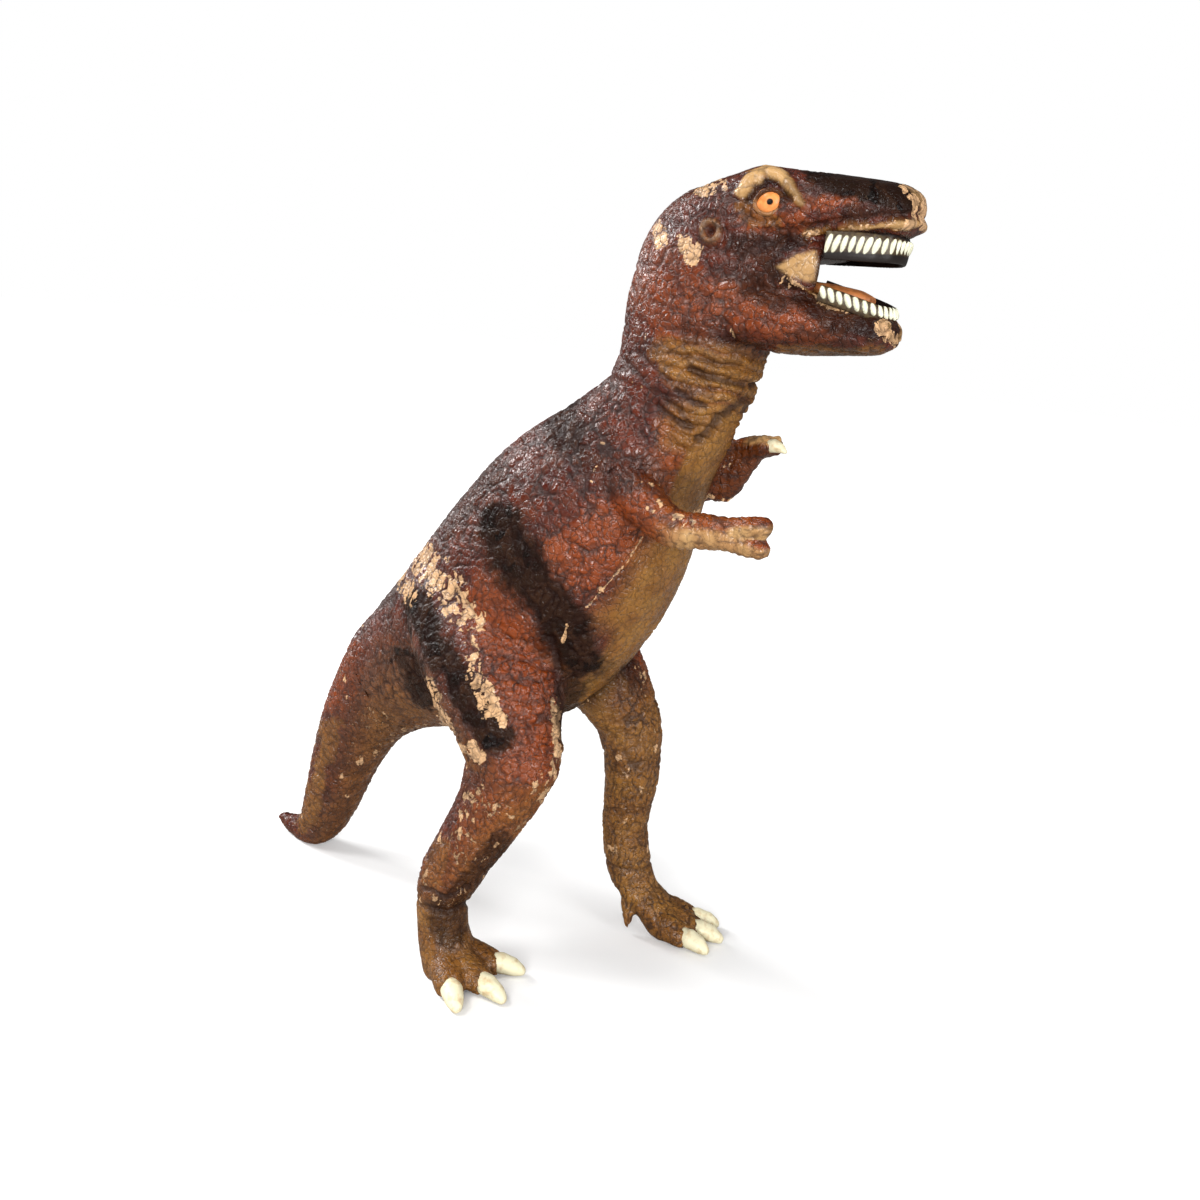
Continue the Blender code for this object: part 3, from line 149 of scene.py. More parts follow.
# Creases of the body and neck: lines and a radius in the photograph's pixels, and a depth in millimetres
HIDE_CREASES = (
    (((500, 655), (530, 661), (552, 655)), 2.4, 0.5),
    (((500, 676), (530, 683), (556, 676)), 2.4, 0.45),
    (((505, 697), (532, 703), (558, 697)), 2.4, 0.4),
    (((508, 720), (534, 724), (560, 718)), 2.2, 0.35),
    (((553, 640), (560, 690), (563, 740)), 4.0, 0.9),
    (((424, 888), (446, 898), (470, 886)), 2.6, 0.8),
    (((424, 905), (448, 913), (468, 903)), 2.4, 0.6),
)
NECK_CREASES = (
    (((690, 368), (707, 377), (724, 382), (745, 386)), 3.6, 1.3),
    (((676, 390), (693, 402), (705, 407)), 3.4, 1.2),
    (((657, 407), (681, 424), (690, 428)), 3.2, 1.0),
    (((624, 360), (648, 386), (678, 409), (693, 428)), 2.6, 0.7),
    (((668, 352), (700, 360), (740, 366)), 3.0, 0.7),
    (((636, 350), (660, 372), (676, 390)), 2.6, 0.6),
    (((752, 398), (733, 409), (719, 419), (700, 440)), 5.0, 1.0),
)

# The neck's folds and its tan skin
NECK_FOLD_ZONE = (((690, 366), (735, 372), (748, 384), (715, 408), (690, 430)), 26, 1.0)
NECK_TAN = (((668, 356), (700, 372), (745, 372)), 18, 0.75)

# The head's features in the photograph's pixels, and its ridges with a height in millimetres
BROW = ((741, 193), (750, 179), (766, 171), (780, 175), (789, 185))
BROW_END = ((789, 185), (796, 194), (801, 203))
UNDER_BROW = ((748, 197), (757, 183), (768, 178), (779, 186), (787, 197))
LIP = ((805, 234), (838, 228), (886, 224), (925, 224))
LOWER_LIP = ((790, 279), (814, 293), (829, 305), (862, 312), (895, 317))
EAR_MIDDLE = (710.7, 231)
EAR_SIZE = (10.7, 13)
EYE_SPOT = ((760, 200), (772, 200))
PORE = ((690, 299), (690, 300))
HEAD_RIDGES = (
    (BROW, 5.4, 1.0),
    (BROW_END, 3.6, 0.8),
    (UNDER_BROW, 4.5, -1.0),
    (((743, 203), (755, 213), (771, 218), (790, 207), (799, 201)), 3.0, 0.6),
    (((740, 214), (752, 224), (771, 225)), 3.2, 0.5),
    (((748, 219), (762, 222), (782, 219)), 2.4, -0.35),
    (LIP, 4.2, 0.75),
    (((806, 226), (840, 220), (888, 215), (924, 214)), 3.0, -0.55),
    (LOWER_LIP, 4.0, 0.5),
    (((680, 330), (720, 345), (770, 350)), 5.0, -0.6),
    (((640, 320), (664, 344), (700, 352)), 4.0, -0.5),
    (((905, 190), (918, 196), (926, 210)), 5.0, 0.4),
)

# Paint and wear of the head, as on the body, with painted shade under the brow
HEAD_DARKS = (
    (((819, 176), (862, 186), (905, 198)), 17, 1.0),
    (((845, 212), (900, 214)), 10, 0.7),
    (((806, 226), (840, 220), (888, 214)), 4, 0.6),
    (((800, 300), (840, 322), (890, 330)), 16, 0.85),
    (((768, 266), (788, 284), (812, 300)), 8, 0.85),
    (((800, 335), (850, 345)), 12, 0.5),
    (((742, 246), (795, 240)), 11, 0.8),
    (((735, 245), (775, 262)), 13, 0.7),
    (((750, 280), (778, 302)), 14, 0.75),
    (((725, 270), (760, 272)), 14, 0.45),
    (((648, 205), (690, 186)), 12, 0.5),
    (((700, 182), (735, 170)), 8, 0.5),
    # painted shade in the groove under the brow ridge
    (UNDER_BROW, 4, 0.75),
    (((690, 330), (740, 340)), 12, 0.4),
)
HEAD_TANS = (
    (((783, 352), (850, 354), (880, 352)), 8, 0.7),
    (BROW, 6, 0.9),
    (BROW_END, 3.5, 0.9),
    (LIP, 5, 0.8),
    (LOWER_LIP, 4, 0.6),
    (((742, 205), (752, 218), (775, 222)), 7, 0.6),
)
HEAD_WARMS = (
    (((802, 204), (850, 200)), 9, 1.0),
    (((750, 222), (800, 226)), 12, 0.7),
    (((700, 300), (760, 310), (820, 325)), 26, 0.75),
    (((655, 290), (685, 340)), 24, 0.6),
    (((650, 240), (700, 280)), 14, 0.4),
)
HEAD_PALES = (
    (BROW, 4.8, 0.95),
    (BROW_END, 2.2, 0.8),
    (((912, 190), (921, 204), (925, 222)), 4, 0.45),
    (((840, 229), (886, 224), (925, 224)), 2.6, 0.75),
    (LOWER_LIP, 1.8, 0.55),
    (((886, 328), (892, 338)), 5, 0.5),
)
HEAD_WEARS = (
    (((652, 216), (663, 240)), 8, 0.75),
    (((680, 243), (694, 252), (690, 260)), 9, 0.75),
    (((908, 188), (918, 200), (924, 226)), 7, 0.7),
    (((700, 190), (722, 185)), 9, 0.45),
    (LIP, 4, 0.5),
    (((884, 326), (890, 340)), 8, 0.7),
    (LOWER_LIP, 3, 0.6),
    (((780, 270), (784, 296)), 8, 0.35),
)

# The cheek web's corners, and the ear's rim and its width as shares of the ear's size
WEB = ((776, 267), (796, 254), (816, 250), (820, 266), (817, 284), (790, 277))
EAR_RIM, EAR_RIM_WIDTH = 0.75, 0.25

# Where areas of the hide begin, in millimetres of the row frame: nothing at the first, full at the second
BODY_BELOW_SEAM = (3, -3)
TAIL_BEHIND, TAIL_LEVEL, TAIL_SLOPE = (-42, -62), 70, 0.35
RIGHT_ARM_OUT, RIGHT_ARM_AHEAD = (-10.5, -12.5), (42, 50)
RIGHT_ARM_ABOVE, RIGHT_ARM_BELOW = (137, 140), (166, 162)
LEFT_ARM_OUT, LEFT_ARM_AHEAD = (11.0, 12.5), (38, 44)
LEFT_ARM_ABOVE, LEFT_ARM_BELOW = (145, 148), (174, 170)
THIGH_OUT, THIGH_BELOW = (10, 15), (118, 106)
SHIN_BELOW, FOOT_BELOW = (76, 60), (26, 20)
LEFT_LEG_OUT, LEFT_LEG_BELOW = (6, 12), (95, 75)
MOUTH_AHEAD, MOUTH_INSIDE = (81, 84), (12.0, 10.8)
MOUTH_ABOVE, MOUTH_BELOW = (205, 206.5), (222.5, 221)
MUZZLE_AHEAD, MUZZLE_ABOVE = (78, 86), (212, 216)
JAW_AHEAD, JAW_BELOW = (70, 78), (212, 208)
GAPE_ABOVE, GAPE_BELOW = (204.5, 208), (216, 213)
GAPE_AHEAD, GAPE_BEHIND = (58, 85), (100, 90)
GAPE_ACROSS = (-10, 6)

# Patterns of the hide: size in millimetres, for plates their meander too, then a stretch along x, y and z,
# and a seed. Real cracks are finer, and are drawn as coarse as the mesh can hold.
PLATES = (3.5, 2.2, (1, 1, 1.3), 11)
FINE_PLATES = (1.6, 0.9, (1, 1, 1.7), 41)
LONG_LINES = (3.0, (1.3, 1, 1), 101)
LEVEL_LINES = (1.7, (2.0, 2.0, 0.8), 111)
UPRIGHT_LINES = (1.5, (0.9, 0.9, 3.0), 121)

# Heights and depths of the hide's relief in millimetres, with the spacing or width of some of its lines
PLATE_RISE = 0.46
HEAD_PLATE_RISE = 0.30
FINE_RISE = 0.13
LUMP_RISE = 0.3
LONG_LINE_DEPTH = 0.34
SHORT_LINE_DEPTH = 0.36
NECK_FOLD_RISE = 1.3
NECK_FOLD_PIXELS = 13
RIB_RISE, RIB_SPACING = 0.14, 3.4
RING_RISE, RING_SPACING = 0.13, 2.6
ANKLE_DEPTH, ANKLE_WIDTH = 0.6, 0.9
SEAM_DEPTH, SEAM_WIDTH = 0.4, 0.55

# How far the gape's back wall is set back at its far corner, in millimetres, so that the view is open there
GAPE_SET_BACK = 16


# Numbers on meshes

HASH_STEPS = (73856093, 19349663, 83492791)
HASH_SEED = 2654435761
HASH_MIX = (2246822519, 3266489917)
HASH_MASK = 0xFFFFFFFF


def random_at(places, seed):
    """A random number from 0 to 1 for each whole-number place, the same in each run."""
    whole = places.astype(np.int64).astype(np.uint64)
    mixed = np.full(len(whole), (seed * HASH_SEED) & HASH_MASK, np.uint64)
    for axis, step in enumerate(HASH_STEPS):
        mixed ^= whole[:, axis] * np.uint64(step)
    mixed &= np.uint64(HASH_MASK)
    for shift, factor in zip((15, 13), HASH_MIX):
        mixed = ((mixed ^ (mixed >> np.uint64(shift))) * np.uint64(factor)) & np.uint64(HASH_MASK)
    mixed ^= mixed >> np.uint64(16)
    return mixed / float(HASH_MASK)


def smooth_step(low, high, value):
    """0 below low and 1 above high, smoothly."""
    share = np.clip((value - low) / (high - low), 0, 1)
    return share * share * (3 - 2 * share)


def lumps(points, size, seed):
    """Smooth random relief from -1 to 1 with lumps of this size."""
    grid = points / size
    base = np.floor(grid)
    part = grid - base
    part = part * part * (3 - 2 * part)
    total = np.zeros(len(points))
    for corner in np.ndindex(2, 2, 2):
        step = np.array(corner)
        weight = np.prod(np.where(step, part, 1 - part), axis=1)
        total += weight * random_at(base + step, seed)
    return total * 2 - 1


def warped(points, size, reach, seed):
    """The points pushed about by smooth lumps, so that patterns on them meander."""
    push = np.stack([lumps(points, size, seed + axis) for axis in range(3)], axis=1)
    return points + push * reach


def cells(points, size, seed):
    """How far each point lies from its cell's edge, in cells, and its cell's own random number."""
    grid = points / size
    base = np.floor(grid)
    nearest = np.full(len(points), 9.0)
    second = nearest.copy()
    own = np.zeros(len(points))
    for corner in np.ndindex(3, 3, 3):
        cell = base + np.array(corner) - 1
        spot = cell + 0.08 + 0.84 * np.stack([random_at(cell, seed + axis) for axis in range(3)], axis=1)
        away = np.linalg.norm(grid - spot, axis=1)
        closer = away < nearest
        second = np.where(closer, nearest, np.minimum(second, away))
        own = np.where(closer, random_at(cell, seed + 7), own)
        nearest = np.where(closer, away, nearest)
    return second - nearest, own


def on_photo(points):
    """Where points of the row frame lie in the photograph, in its pixels."""
    away = points - PHOTO_EYE
    depth = -(away @ PHOTO_BACK)
    across = PHOTO_FOCAL * (away @ PHOTO_RIGHT) / depth
    down = -PHOTO_FOCAL * (away @ PHOTO_UP) / depth
    return np.stack([across, down], axis=1) + PHOTO_SIZE / 2


def on_flank(points):
    """The same with the left side folded onto the right, so that both sides are painted alike."""
    folded = points.copy()
    folded[:, 1] = MIDDLE_Y - np.abs(points[:, 1] - MIDDLE_Y)
    return on_photo(folded)


def line_distance(pixels, line):
    """Distance in pixels from each place to a line of straight runs."""
    nearest = np.full(len(pixels), 1e6)
    for start, end in zip(line, line[1:]):
        start = np.array(start, float)
        run = np.array(end, float) - start
        share = np.clip((pixels - start) @ run / (run @ run), 0, 1)
        gap = np.linalg.norm(pixels - start - share[:, None] * run, axis=1)
        nearest = np.minimum(nearest, gap)
    return nearest


def strokes(pixels, table, rough):
    """The strongest of a table's strokes at each place, with edges made uneven by rough, in pixels."""
    total = np.zeros(len(pixels))
    for line, radius, strength in table:
        gap = line_distance(pixels, line) + rough
        total = np.maximum(total, strength * smooth_step(radius * 1.35, radius * 0.6, gap))
    return total


# Meshes

def mesh_of(name, form):
    """The mesh that a finished bmesh becomes."""
    mesh = bpy.data.meshes.new(name)
    form.to_mesh(mesh)
    form.free()
    return mesh


def placed(name, data):
    """A new object of the scene that holds this mesh, curve, lamp or camera."""
    made = bpy.data.objects.new(name, data)
    bpy.context.scene.collection.objects.link(made)
    return made


def gathered(name, nodes):
    """One mesh object of copies of CAD nodes, their loose triangles merged."""
    form = bmesh.new()
    for node in nodes:
        form.from_mesh(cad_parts[node].data)
    bmesh.ops.remove_doubles(form, verts=form.verts, dist=SAME_PLACE)
    return placed(name, mesh_of(name, form))


def settled(piece):
    """Gives a piece the mesh that its modifiers make, and removes them."""
    graph = bpy.context.evaluated_depsgraph_get()
    mesh = bpy.data.meshes.new_from_object(piece.evaluated_get(graph))
    piece.modifiers.clear()
    old = piece.data
    piece.data = mesh
    bpy.data.meshes.remove(old)
    return piece


def remeshed(piece, size):
    """Even quads of this size over the piece."""
    remesh = piece.modifiers.new("remesh", "REMESH")
    remesh.mode = "VOXEL"
    remesh.voxel_size = size
    return settled(piece)


def subdivided(piece):
    """Each quad made four, on the smooth surface through them."""
    halving = piece.modifiers.new("subdivision", "SUBSURF")
    halving.levels = halving.render_levels = 1
    return settled(piece)


def fill_hollows(piece):
    """Adds a core that fills the hollows and lies inside the walls, so that only the outside is left."""
    core = placed("core", piece.data.copy())
    remeshed(core, CORE_GRID)
    outer_shell(core)
    points = places_of(core.data)
    from_seam = np.abs((points - NECK_PLACE) @ NECK_AXIS) / MM
    set_in = SEAM_SET_IN + (CORE_SET_IN - SEAM_SET_IN) * smooth_step(2.5, 7, from_seam)
    place(core.data, points - normals_of(core.data) * set_in[:, None])
    form = bmesh.new()
    form.from_mesh(piece.data)
    form.from_mesh(core.data)
    form.to_mesh(piece.data)
    form.free()
    bpy.data.objects.remove(core)


def outer_shell(piece):
    """Keeps what is joined to the piece's top, so that no wall of a hollow is left inside."""
    form = bmesh.new()
    form.from_mesh(piece.data)
    top = max(form.verts, key=lambda vertex: vertex.co.z)
    reached = {top}
    edge = [top]
    while edge:
        vertex = edge.pop()
        for link in vertex.link_edges:
            other = link.other_vert(vertex)
            if other not in reached:
                reached.add(other)
                edge.append(other)
    inside = [vertex for vertex in form.verts if vertex not in reached]
    bmesh.ops.delete(form, geom=inside, context="VERTS")
    form.to_mesh(piece.data)
    form.free()
    return piece


def places_of(mesh):
    """A mesh's vertices as an array."""
    flat = np.empty(len(mesh.vertices) * 3, np.float32)
    mesh.vertices.foreach_get("co", flat)
    return flat.reshape(-1, 3).astype(float)


def normals_of(mesh):
    """A mesh's smooth normals as an array."""
    flat = np.empty(len(mesh.vertices) * 3, np.float32)
    mesh.vertex_normals.foreach_get("vector", flat)
    return flat.reshape(-1, 3).astype(float)


def place(mesh, points):
    """Moves a mesh's vertices to these places."""
    mesh.vertices.foreach_set("co", points.astype(np.float32).ravel())
    mesh.update()


def relaxed(piece, rounds, pull=0.5, push=0.52):
    """Smooths a piece without making it thinner."""
    mesh = piece.data
    ends = np.empty(len(mesh.edges) * 2, np.int64)
    mesh.edges.foreach_get("vertices", ends)
    one, other = ends.reshape(-1, 2).T
    count = len(mesh.vertices)
    joined = np.maximum(np.bincount(one, minlength=count) + np.bincount(other, minlength=count), 1)
    points = places_of(mesh)
    for factor in (pull, -push) * rounds:
        mean = np.stack(
            [
                np.bincount(one, points[other, axis], count) + np.bincount(other, points[one, axis], count)
                for axis in range(3)
            ],
            axis=1,
        )
        points += factor * (mean / joined[:, None] - points)
    place(mesh, points)
    return piece


def keep_masks(mesh, name, channels):
    """Stores up to four masks on a mesh's vertices for its material to read."""
    table = np.zeros((len(mesh.vertices), 4), np.float32)
    table[:, 3] = 1
    for index, channel in enumerate(channels):
        table[:, index] = channel
    attribute = mesh.attributes.new(name, "FLOAT_COLOR", "POINT")
    attribute.data.foreach_set("color", table.ravel())


def nearest_node(nodes):
    """A search tree over CAD nodes, and the node that each of its polygons belongs to."""
    corners, faces, owner = [], [], []
    for node in nodes:
        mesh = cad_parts[node].data
        start = len(corners)
        corners.extend(vertex.co for vertex in mesh.vertices)
        faces.extend([start + i for i in polygon.vertices] for polygon in mesh.polygons)
        owner.extend([node] * len(mesh.polygons))
    return BVHTree.FromPolygons(corners, faces), owner


def cut_at_neck(piece):
    """Cuts a ring of edges round the neck seam."""
    form = bmesh.new()
    form.from_mesh(piece.data)
    parts = form.verts[:] + form.edges[:] + form.faces[:]
    bmesh.ops.bisect_plane(form, geom=parts, dist=SAME_PLACE, plane_co=NECK_PLACE, plane_no=NECK_AXIS)
    form.to_mesh(piece.data)
    form.free()


def nearest_nodes(mesh):
    """The CAD node that each polygon of the skin lies nearest to, the head's above the neck seam."""
    above, below = nearest_node(HEAD_NODES), nearest_node(BODY_NODES)
    axis, seam = Vector(NECK_AXIS), Vector(NECK_PLACE)
    nodes = []
    for polygon in mesh.polygons:
        tree, owner = above if (polygon.center - seam).dot(axis) > 0 else below
        nodes.append(owner[tree.find_nearest(polygon.center)[2]])
    return nodes


def closed_part(mesh, nodes, node):
    """The polygons of one node as a closed piece, shaded as the whole skin."""
    form = bmesh.new()
    form.from_mesh(mesh)
    form.faces.ensure_lookup_table()
    others = [face for face in form.faces if nodes[face.index] != node]
    bmesh.ops.delete(form, geom=others, context="FACES")
    open_edges = [edge for edge in form.edges if edge.is_boundary]
    bmesh.ops.holes_fill(form, edges=open_edges, sides=0)
    part = mesh_of(node + "_skin", form)
    part.shade_smooth()
    flat = np.empty(len(part.vertices) * 4, np.float32)
    part.attributes["normal"].data.foreach_get("color", flat)
    part.normals_split_custom_set_from_vertices(flat.reshape(-1, 4)[:, :3])
    part.attributes.remove(part.attributes["normal"])
    return placed(node + "_skin", part)


def split_like(whole):
    """Cuts the skin into one closed piece for each CAD node that it covers."""
    mesh = whole.data
    keep_masks(mesh, "normal", normals_of(mesh).T)
    cut_at_neck(whole)
    nodes = nearest_nodes(mesh)
    pieces = {node: closed_part(mesh, nodes, node) for node in BODY_NODES + HEAD_NODES}
    bpy.data.objects.remove(whole)
    return pieces


# The hide's relief and paint

def facing(normals, points):
    """1 where a surface faces the photograph's camera, or would on the left side folded onto the right."""
    left = points[:, 1] > MIDDLE_Y
    folded = points.copy()
    folded[left, 1] = 2 * MIDDLE_Y - points[left, 1]
    turned = normals.copy()
    turned[left, 1] *= -1
    ray = PHOTO_EYE - folded
    ray /= np.linalg.norm(ray, axis=1)[:, None]
    return smooth_step(-0.2, 0.25, np.einsum("ij,ij->i", turned, ray))


def hide_pattern(points, size, meander, stretch, seed):
    """Raised leathery plates: their height and their grooves, from 0 to 1, and each plate's own number."""
    flow = warped(points, size * MM * 1.5, meander * MM, seed)
    flow = warped(flow, size * MM * 0.6, meander * MM * 0.35, seed + 5) / np.array(stretch)
    edge, own = cells(flow, size * MM, seed + 20)
    broken = smooth_step(-0.5, 0.2, lumps(points, size * MM * 1.3, seed + 9))
    height = 1 - (1 - smooth_step(0.0, 0.2, edge)) * (0.25 + 0.75 * broken)
    groove_shade = (1 - smooth_step(0.02, 0.2, edge)) * broken
    return height, groove_shade, own


def wrinkles(points, size, stretch, seed):
    """Thin meandering creases, 1 along a crease and 0 between."""
    flow = warped(points, size * MM * 2, size * MM * 0.8, seed) / np.array(stretch)
    return 1 - smooth_step(0.02, 0.22, np.abs(lumps(flow, size * MM, seed + 3)))


def bell(gap, width):
    """1 where the gap is 0, and falling off softly over this width."""
    return np.exp(-((gap / width) ** 2))


def strongest(*masks):
    """The highest of several masks at each place."""
    return np.maximum.reduce(masks)


def within(pixels, corners):
    """1 inside a shape with these corners, clockwise in the picture, and 0 outside, with a soft edge."""
    depth = np.full(len(pixels), 1e6)
    for start, end in zip(corners, corners[1:] + corners[:1]):
        run = np.array(end, float) - np.array(start, float)
        inward = np.array((-run[1], run[0])) / np.linalg.norm(run)
        depth = np.minimum(depth, (pixels - np.array(start)) @ inward)
    return smooth_step(-2.5, 3.0, depth)


def creases(pixels, table, rough):
    """Depth in millimetres of the creases that a table of strokes draws."""
    total = np.zeros(len(pixels))
    for line, radius, depth in table:
        gap = np.maximum(line_distance(pixels, line) + rough, 0)
        total = np.maximum(total, depth * bell(gap, radius))
    return total


def look_over(mesh):
    """What the relief and the paint both need at each vertex: masks from 0 to 1, and places."""
    points = places_of(mesh)
    normals = normals_of(mesh)
    pixels = on_flank(points)
    outside = facing(normals, points)
    x, y, z = (points / MM).T
    side = y - MIDDLE_Y / MM
    above = (points - NECK_PLACE) @ NECK_AXIS / MM
    body = smooth_step(*BODY_BELOW_SEAM, above)
    tail = smooth_step(*TAIL_BEHIND, x - (z - TAIL_LEVEL) * TAIL_SLOPE)
    right_arm = smooth_step(*RIGHT_ARM_OUT, side) * smooth_step(*RIGHT_ARM_AHEAD, x)
    right_arm *= smooth_step(*RIGHT_ARM_ABOVE, z) * smooth_step(*RIGHT_ARM_BELOW, z) * body
    left_arm = smooth_step(*LEFT_ARM_OUT, side) * smooth_step(*LEFT_ARM_AHEAD, x)
    left_arm *= smooth_step(*LEFT_ARM_ABOVE, z) * smooth_step(*LEFT_ARM_BELOW, z) * body
    thigh = smooth_step(*THIGH_OUT, np.abs(side)) * smooth_step(*THIGH_BELOW, z) * (1 - tail)
    left_leg = smooth_step(*LEFT_LEG_OUT, side) * smooth_step(*LEFT_LEG_BELOW, z) * (1 - tail)
    mouth = smooth_step(*MOUTH_AHEAD, x) * smooth_step(*MOUTH_BELOW, z) * smooth_step(*MOUTH_ABOVE, z)
    broad = lumps(points, 5 * MM, 3)
    return SimpleNamespace(
        points=points,
        normals=normals,
        pixels=pixels,
        x=x,
        z=z,
        side=side,
        right=side < 0,
        above=above,
        body=body,
        head=1 - body,
        outside=outside,
        rough=broad * 7 + lumps(points, 1.6 * MM, 4) * 5,
        tail=tail * body,
        shin=smooth_step(*SHIN_BELOW, z) * (1 - tail),
        foot=smooth_step(*FOOT_BELOW, z) * (1 - tail),
        left_leg=left_leg,
        belly=strokes(pixels, (BELLY_STROKE,), broad * 6) * body * (1 - thigh),
        thigh=thigh,
        right_arm=right_arm,
        left_arm=left_arm,
        arm=np.maximum(right_arm, left_arm),
        inner=mouth * smooth_step(*MOUTH_INSIDE, np.abs(side)),
        web=within(pixels, WEB) * outside,
        muzzle=smooth_step(*MUZZLE_AHEAD, x) * smooth_step(*MUZZLE_ABOVE, z),
        jaw=smooth_step(*JAW_AHEAD, x) * smooth_step(*JAW_BELOW, z),
        neck_fold=strokes(pixels, (NECK_FOLD_ZONE,), 0) * outside,
        calm=smooth_step(6, 15, line_distance(pixels, EYE_SPOT)),
        ear_gap=np.linalg.norm((pixels - np.array(EAR_MIDDLE)) / np.array(EAR_SIZE), axis=1),
    )


def mould_patterns(skin):
    """The plates, wrinkles, folds and creases of the whole hide, and how strong they are at each place."""
    points, pixels, calm = skin.points, skin.pixels, skin.calm
    down = pixels @ np.array((-0.32, 0.95)) + lumps(points, 7 * MM, 17) * 7
    plates, grooves, own = hide_pattern(points, *PLATES)
    fine, fine_grooves, fine_own = hide_pattern(points, *FINE_PLATES)
    brow = strokes(pixels, ((BROW, 10, 1.0),), 0) * skin.outside * skin.head
    smooth_limbs = strongest(0.72 * skin.belly, 0.8 * skin.shin, 0.62 * skin.tail, 0.9 * skin.arm)
    smooth_face = strongest(0.85 * skin.muzzle, 0.6 * skin.jaw, skin.inner, skin.web, 1 - calm, 0.9 * brow)
    smooth_places = strongest(smooth_limbs, smooth_face, 0.5 * skin.neck_fold)
    patchy = 0.72 + 0.28 * lumps(points, 14 * MM, 15)
    rise = PLATE_RISE + (HEAD_PLATE_RISE - PLATE_RISE) * skin.head
    small = FINE_RISE + 0.05 * skin.head + 0.12 * skin.shin + 0.08 * skin.tail + 0.02 * skin.arm
    small -= 0.06 * skin.muzzle
    return SimpleNamespace(
        plates=plates,
        grooves=grooves,
        own=own,
        fine=fine,
        fine_grooves=fine_grooves,
        fine_own=fine_own,
        long=wrinkles(points, *LONG_LINES),
        level=wrinkles(points, *LEVEL_LINES),
        upright=wrinkles(points, *UPRIGHT_LINES),
        folds=np.abs(np.sin(down * math.pi / NECK_FOLD_PIXELS)) ** 0.6,
        neck_crease=creases(pixels, NECK_CREASES, lumps(points, 2.5 * MM, 18) * 1.5) * skin.outside,
        hide_crease=creases(pixels, HIDE_CREASES, lumps(points, 3 * MM, 19) * 2) * skin.right * skin.body,
        ankle=bell(skin.z - ANKLE_HEIGHT / MM, ANKLE_WIDTH) * (1 - skin.tail) * skin.body,
        coarse=rise * (1 - smooth_places) * patchy,
        small=small * (1 - skin.inner) * (1 - 0.8 * skin.web) * calm,
        lined=(1 - skin.inner) * (1 - skin.web) * calm,
    )


def pattern_relief(skin, hide):
    """Height in millimetres of the plates, the wrinkles and the broad lumps under them."""
    points, lined = skin.points, hide.lined
    offset = hide.coarse * (1.25 * hide.plates - 0.75 + 0.5 * (hide.own - 0.5))
    offset += hide.small * (hide.fine - 0.6)
    offset += 0.3 * hide.coarse * lumps(points, 4.2 * MM, 16)
    long_places = (1 - 0.5 * skin.belly) * (1 - 0.6 * skin.muzzle) * (1 - skin.foot)
    front = smooth_step(-10, 10, skin.x) * skin.body
    front *= smooth_step(62, 75, skin.z) * smooth_step(118, 105, skin.z)
    level_places = strongest(front, skin.neck_fold, 0.35 * skin.tail)
    upright_places = np.maximum(skin.shin * (1 - skin.foot), 0.7 * skin.left_leg)
    offset -= LONG_LINE_DEPTH * hide.long * long_places * lined
    offset -= SHORT_LINE_DEPTH * hide.level * level_places * lined
    offset -= SHORT_LINE_DEPTH * hide.upright * upright_places * lined
    return offset + LUMP_RISE * lumps(points, 10 * MM, 5) * (1 - skin.foot) * (1 - skin.inner) * skin.calm


def fold_relief(skin, hide):
    """Height in millimetres of neck folds, creases, the tail's ribs, the arms' rings and the ankle seams."""
    along_tail = skin.z + 0.7 * skin.x + lumps(skin.points, 9 * MM, 8) * 2.2
    along_arm = skin.x + lumps(skin.points, 6 * MM, 9) * 2
    offset = NECK_FOLD_RISE * (hide.folds - 0.6) * skin.neck_fold
    offset -= hide.neck_crease + hide.hide_crease
    offset += RIB_RISE * np.sin(along_tail * 2 * math.pi / RIB_SPACING) * skin.tail
    offset += RING_RISE * np.sin(along_arm * 2 * math.pi / RING_SPACING) * skin.arm
    return offset - ANKLE_DEPTH * hide.ankle


def head_relief(skin):
    """Height in millimetres of the brow, lips, cheek folds, ear and pore."""
    offset = np.zeros(len(skin.points))
    for line, radius, height in HEAD_RIDGES:
        offset += height * bell(line_distance(skin.pixels, line), radius)
    offset += 1.1 * bell(skin.ear_gap - EAR_RIM, EAR_RIM_WIDTH)
    offset -= 0.5 * bell(skin.ear_gap - 1.3, 0.18)
    offset -= 0.9 * bell(skin.ear_gap, 0.3)
    offset -= 1.1 * bell(line_distance(skin.pixels, PORE), 3.0)
    return offset * skin.outside * skin.head


def deepen_gape(skin):
    """Sets the gape's back wall back, further towards the far side."""
    share = np.interp(skin.side, GAPE_ACROSS, (0, 1)) * skin.head
    share *= smooth_step(*GAPE_ABOVE, skin.z) * smooth_step(*GAPE_BELOW, skin.z)
    share *= smooth_step(*GAPE_AHEAD, skin.x) * smooth_step(*GAPE_BEHIND, skin.x)
    skin.points[:, 0] -= GAPE_SET_BACK * MM * share


def crack_shade_depths(skin, hide):
    """How deep in the relief each place lies, from 0 to 1, for the paint to darken as painted shade in the
    grooves, cracks, creases and ankle seams.
    """
    lined = hide.lined
    return strongest(
        hide.grooves * np.clip(hide.coarse / 0.35, 0, 1),
        hide.fine_grooves * np.clip(hide.small * 2.4, 0, 0.6),
        0.55 * hide.long * lined * (1 - skin.belly),
        (0.5 + 0.4 * skin.left_leg) * hide.upright * skin.shin * lined,
        0.5 * hide.level * skin.left_leg * (1 - skin.foot),
        0.7 * hide.level * skin.arm,
        np.clip(hide.neck_crease, 0, 1),
        np.clip(hide.hide_crease * 1.4, 0, 1),
        0.7 * hide.ankle,
    )


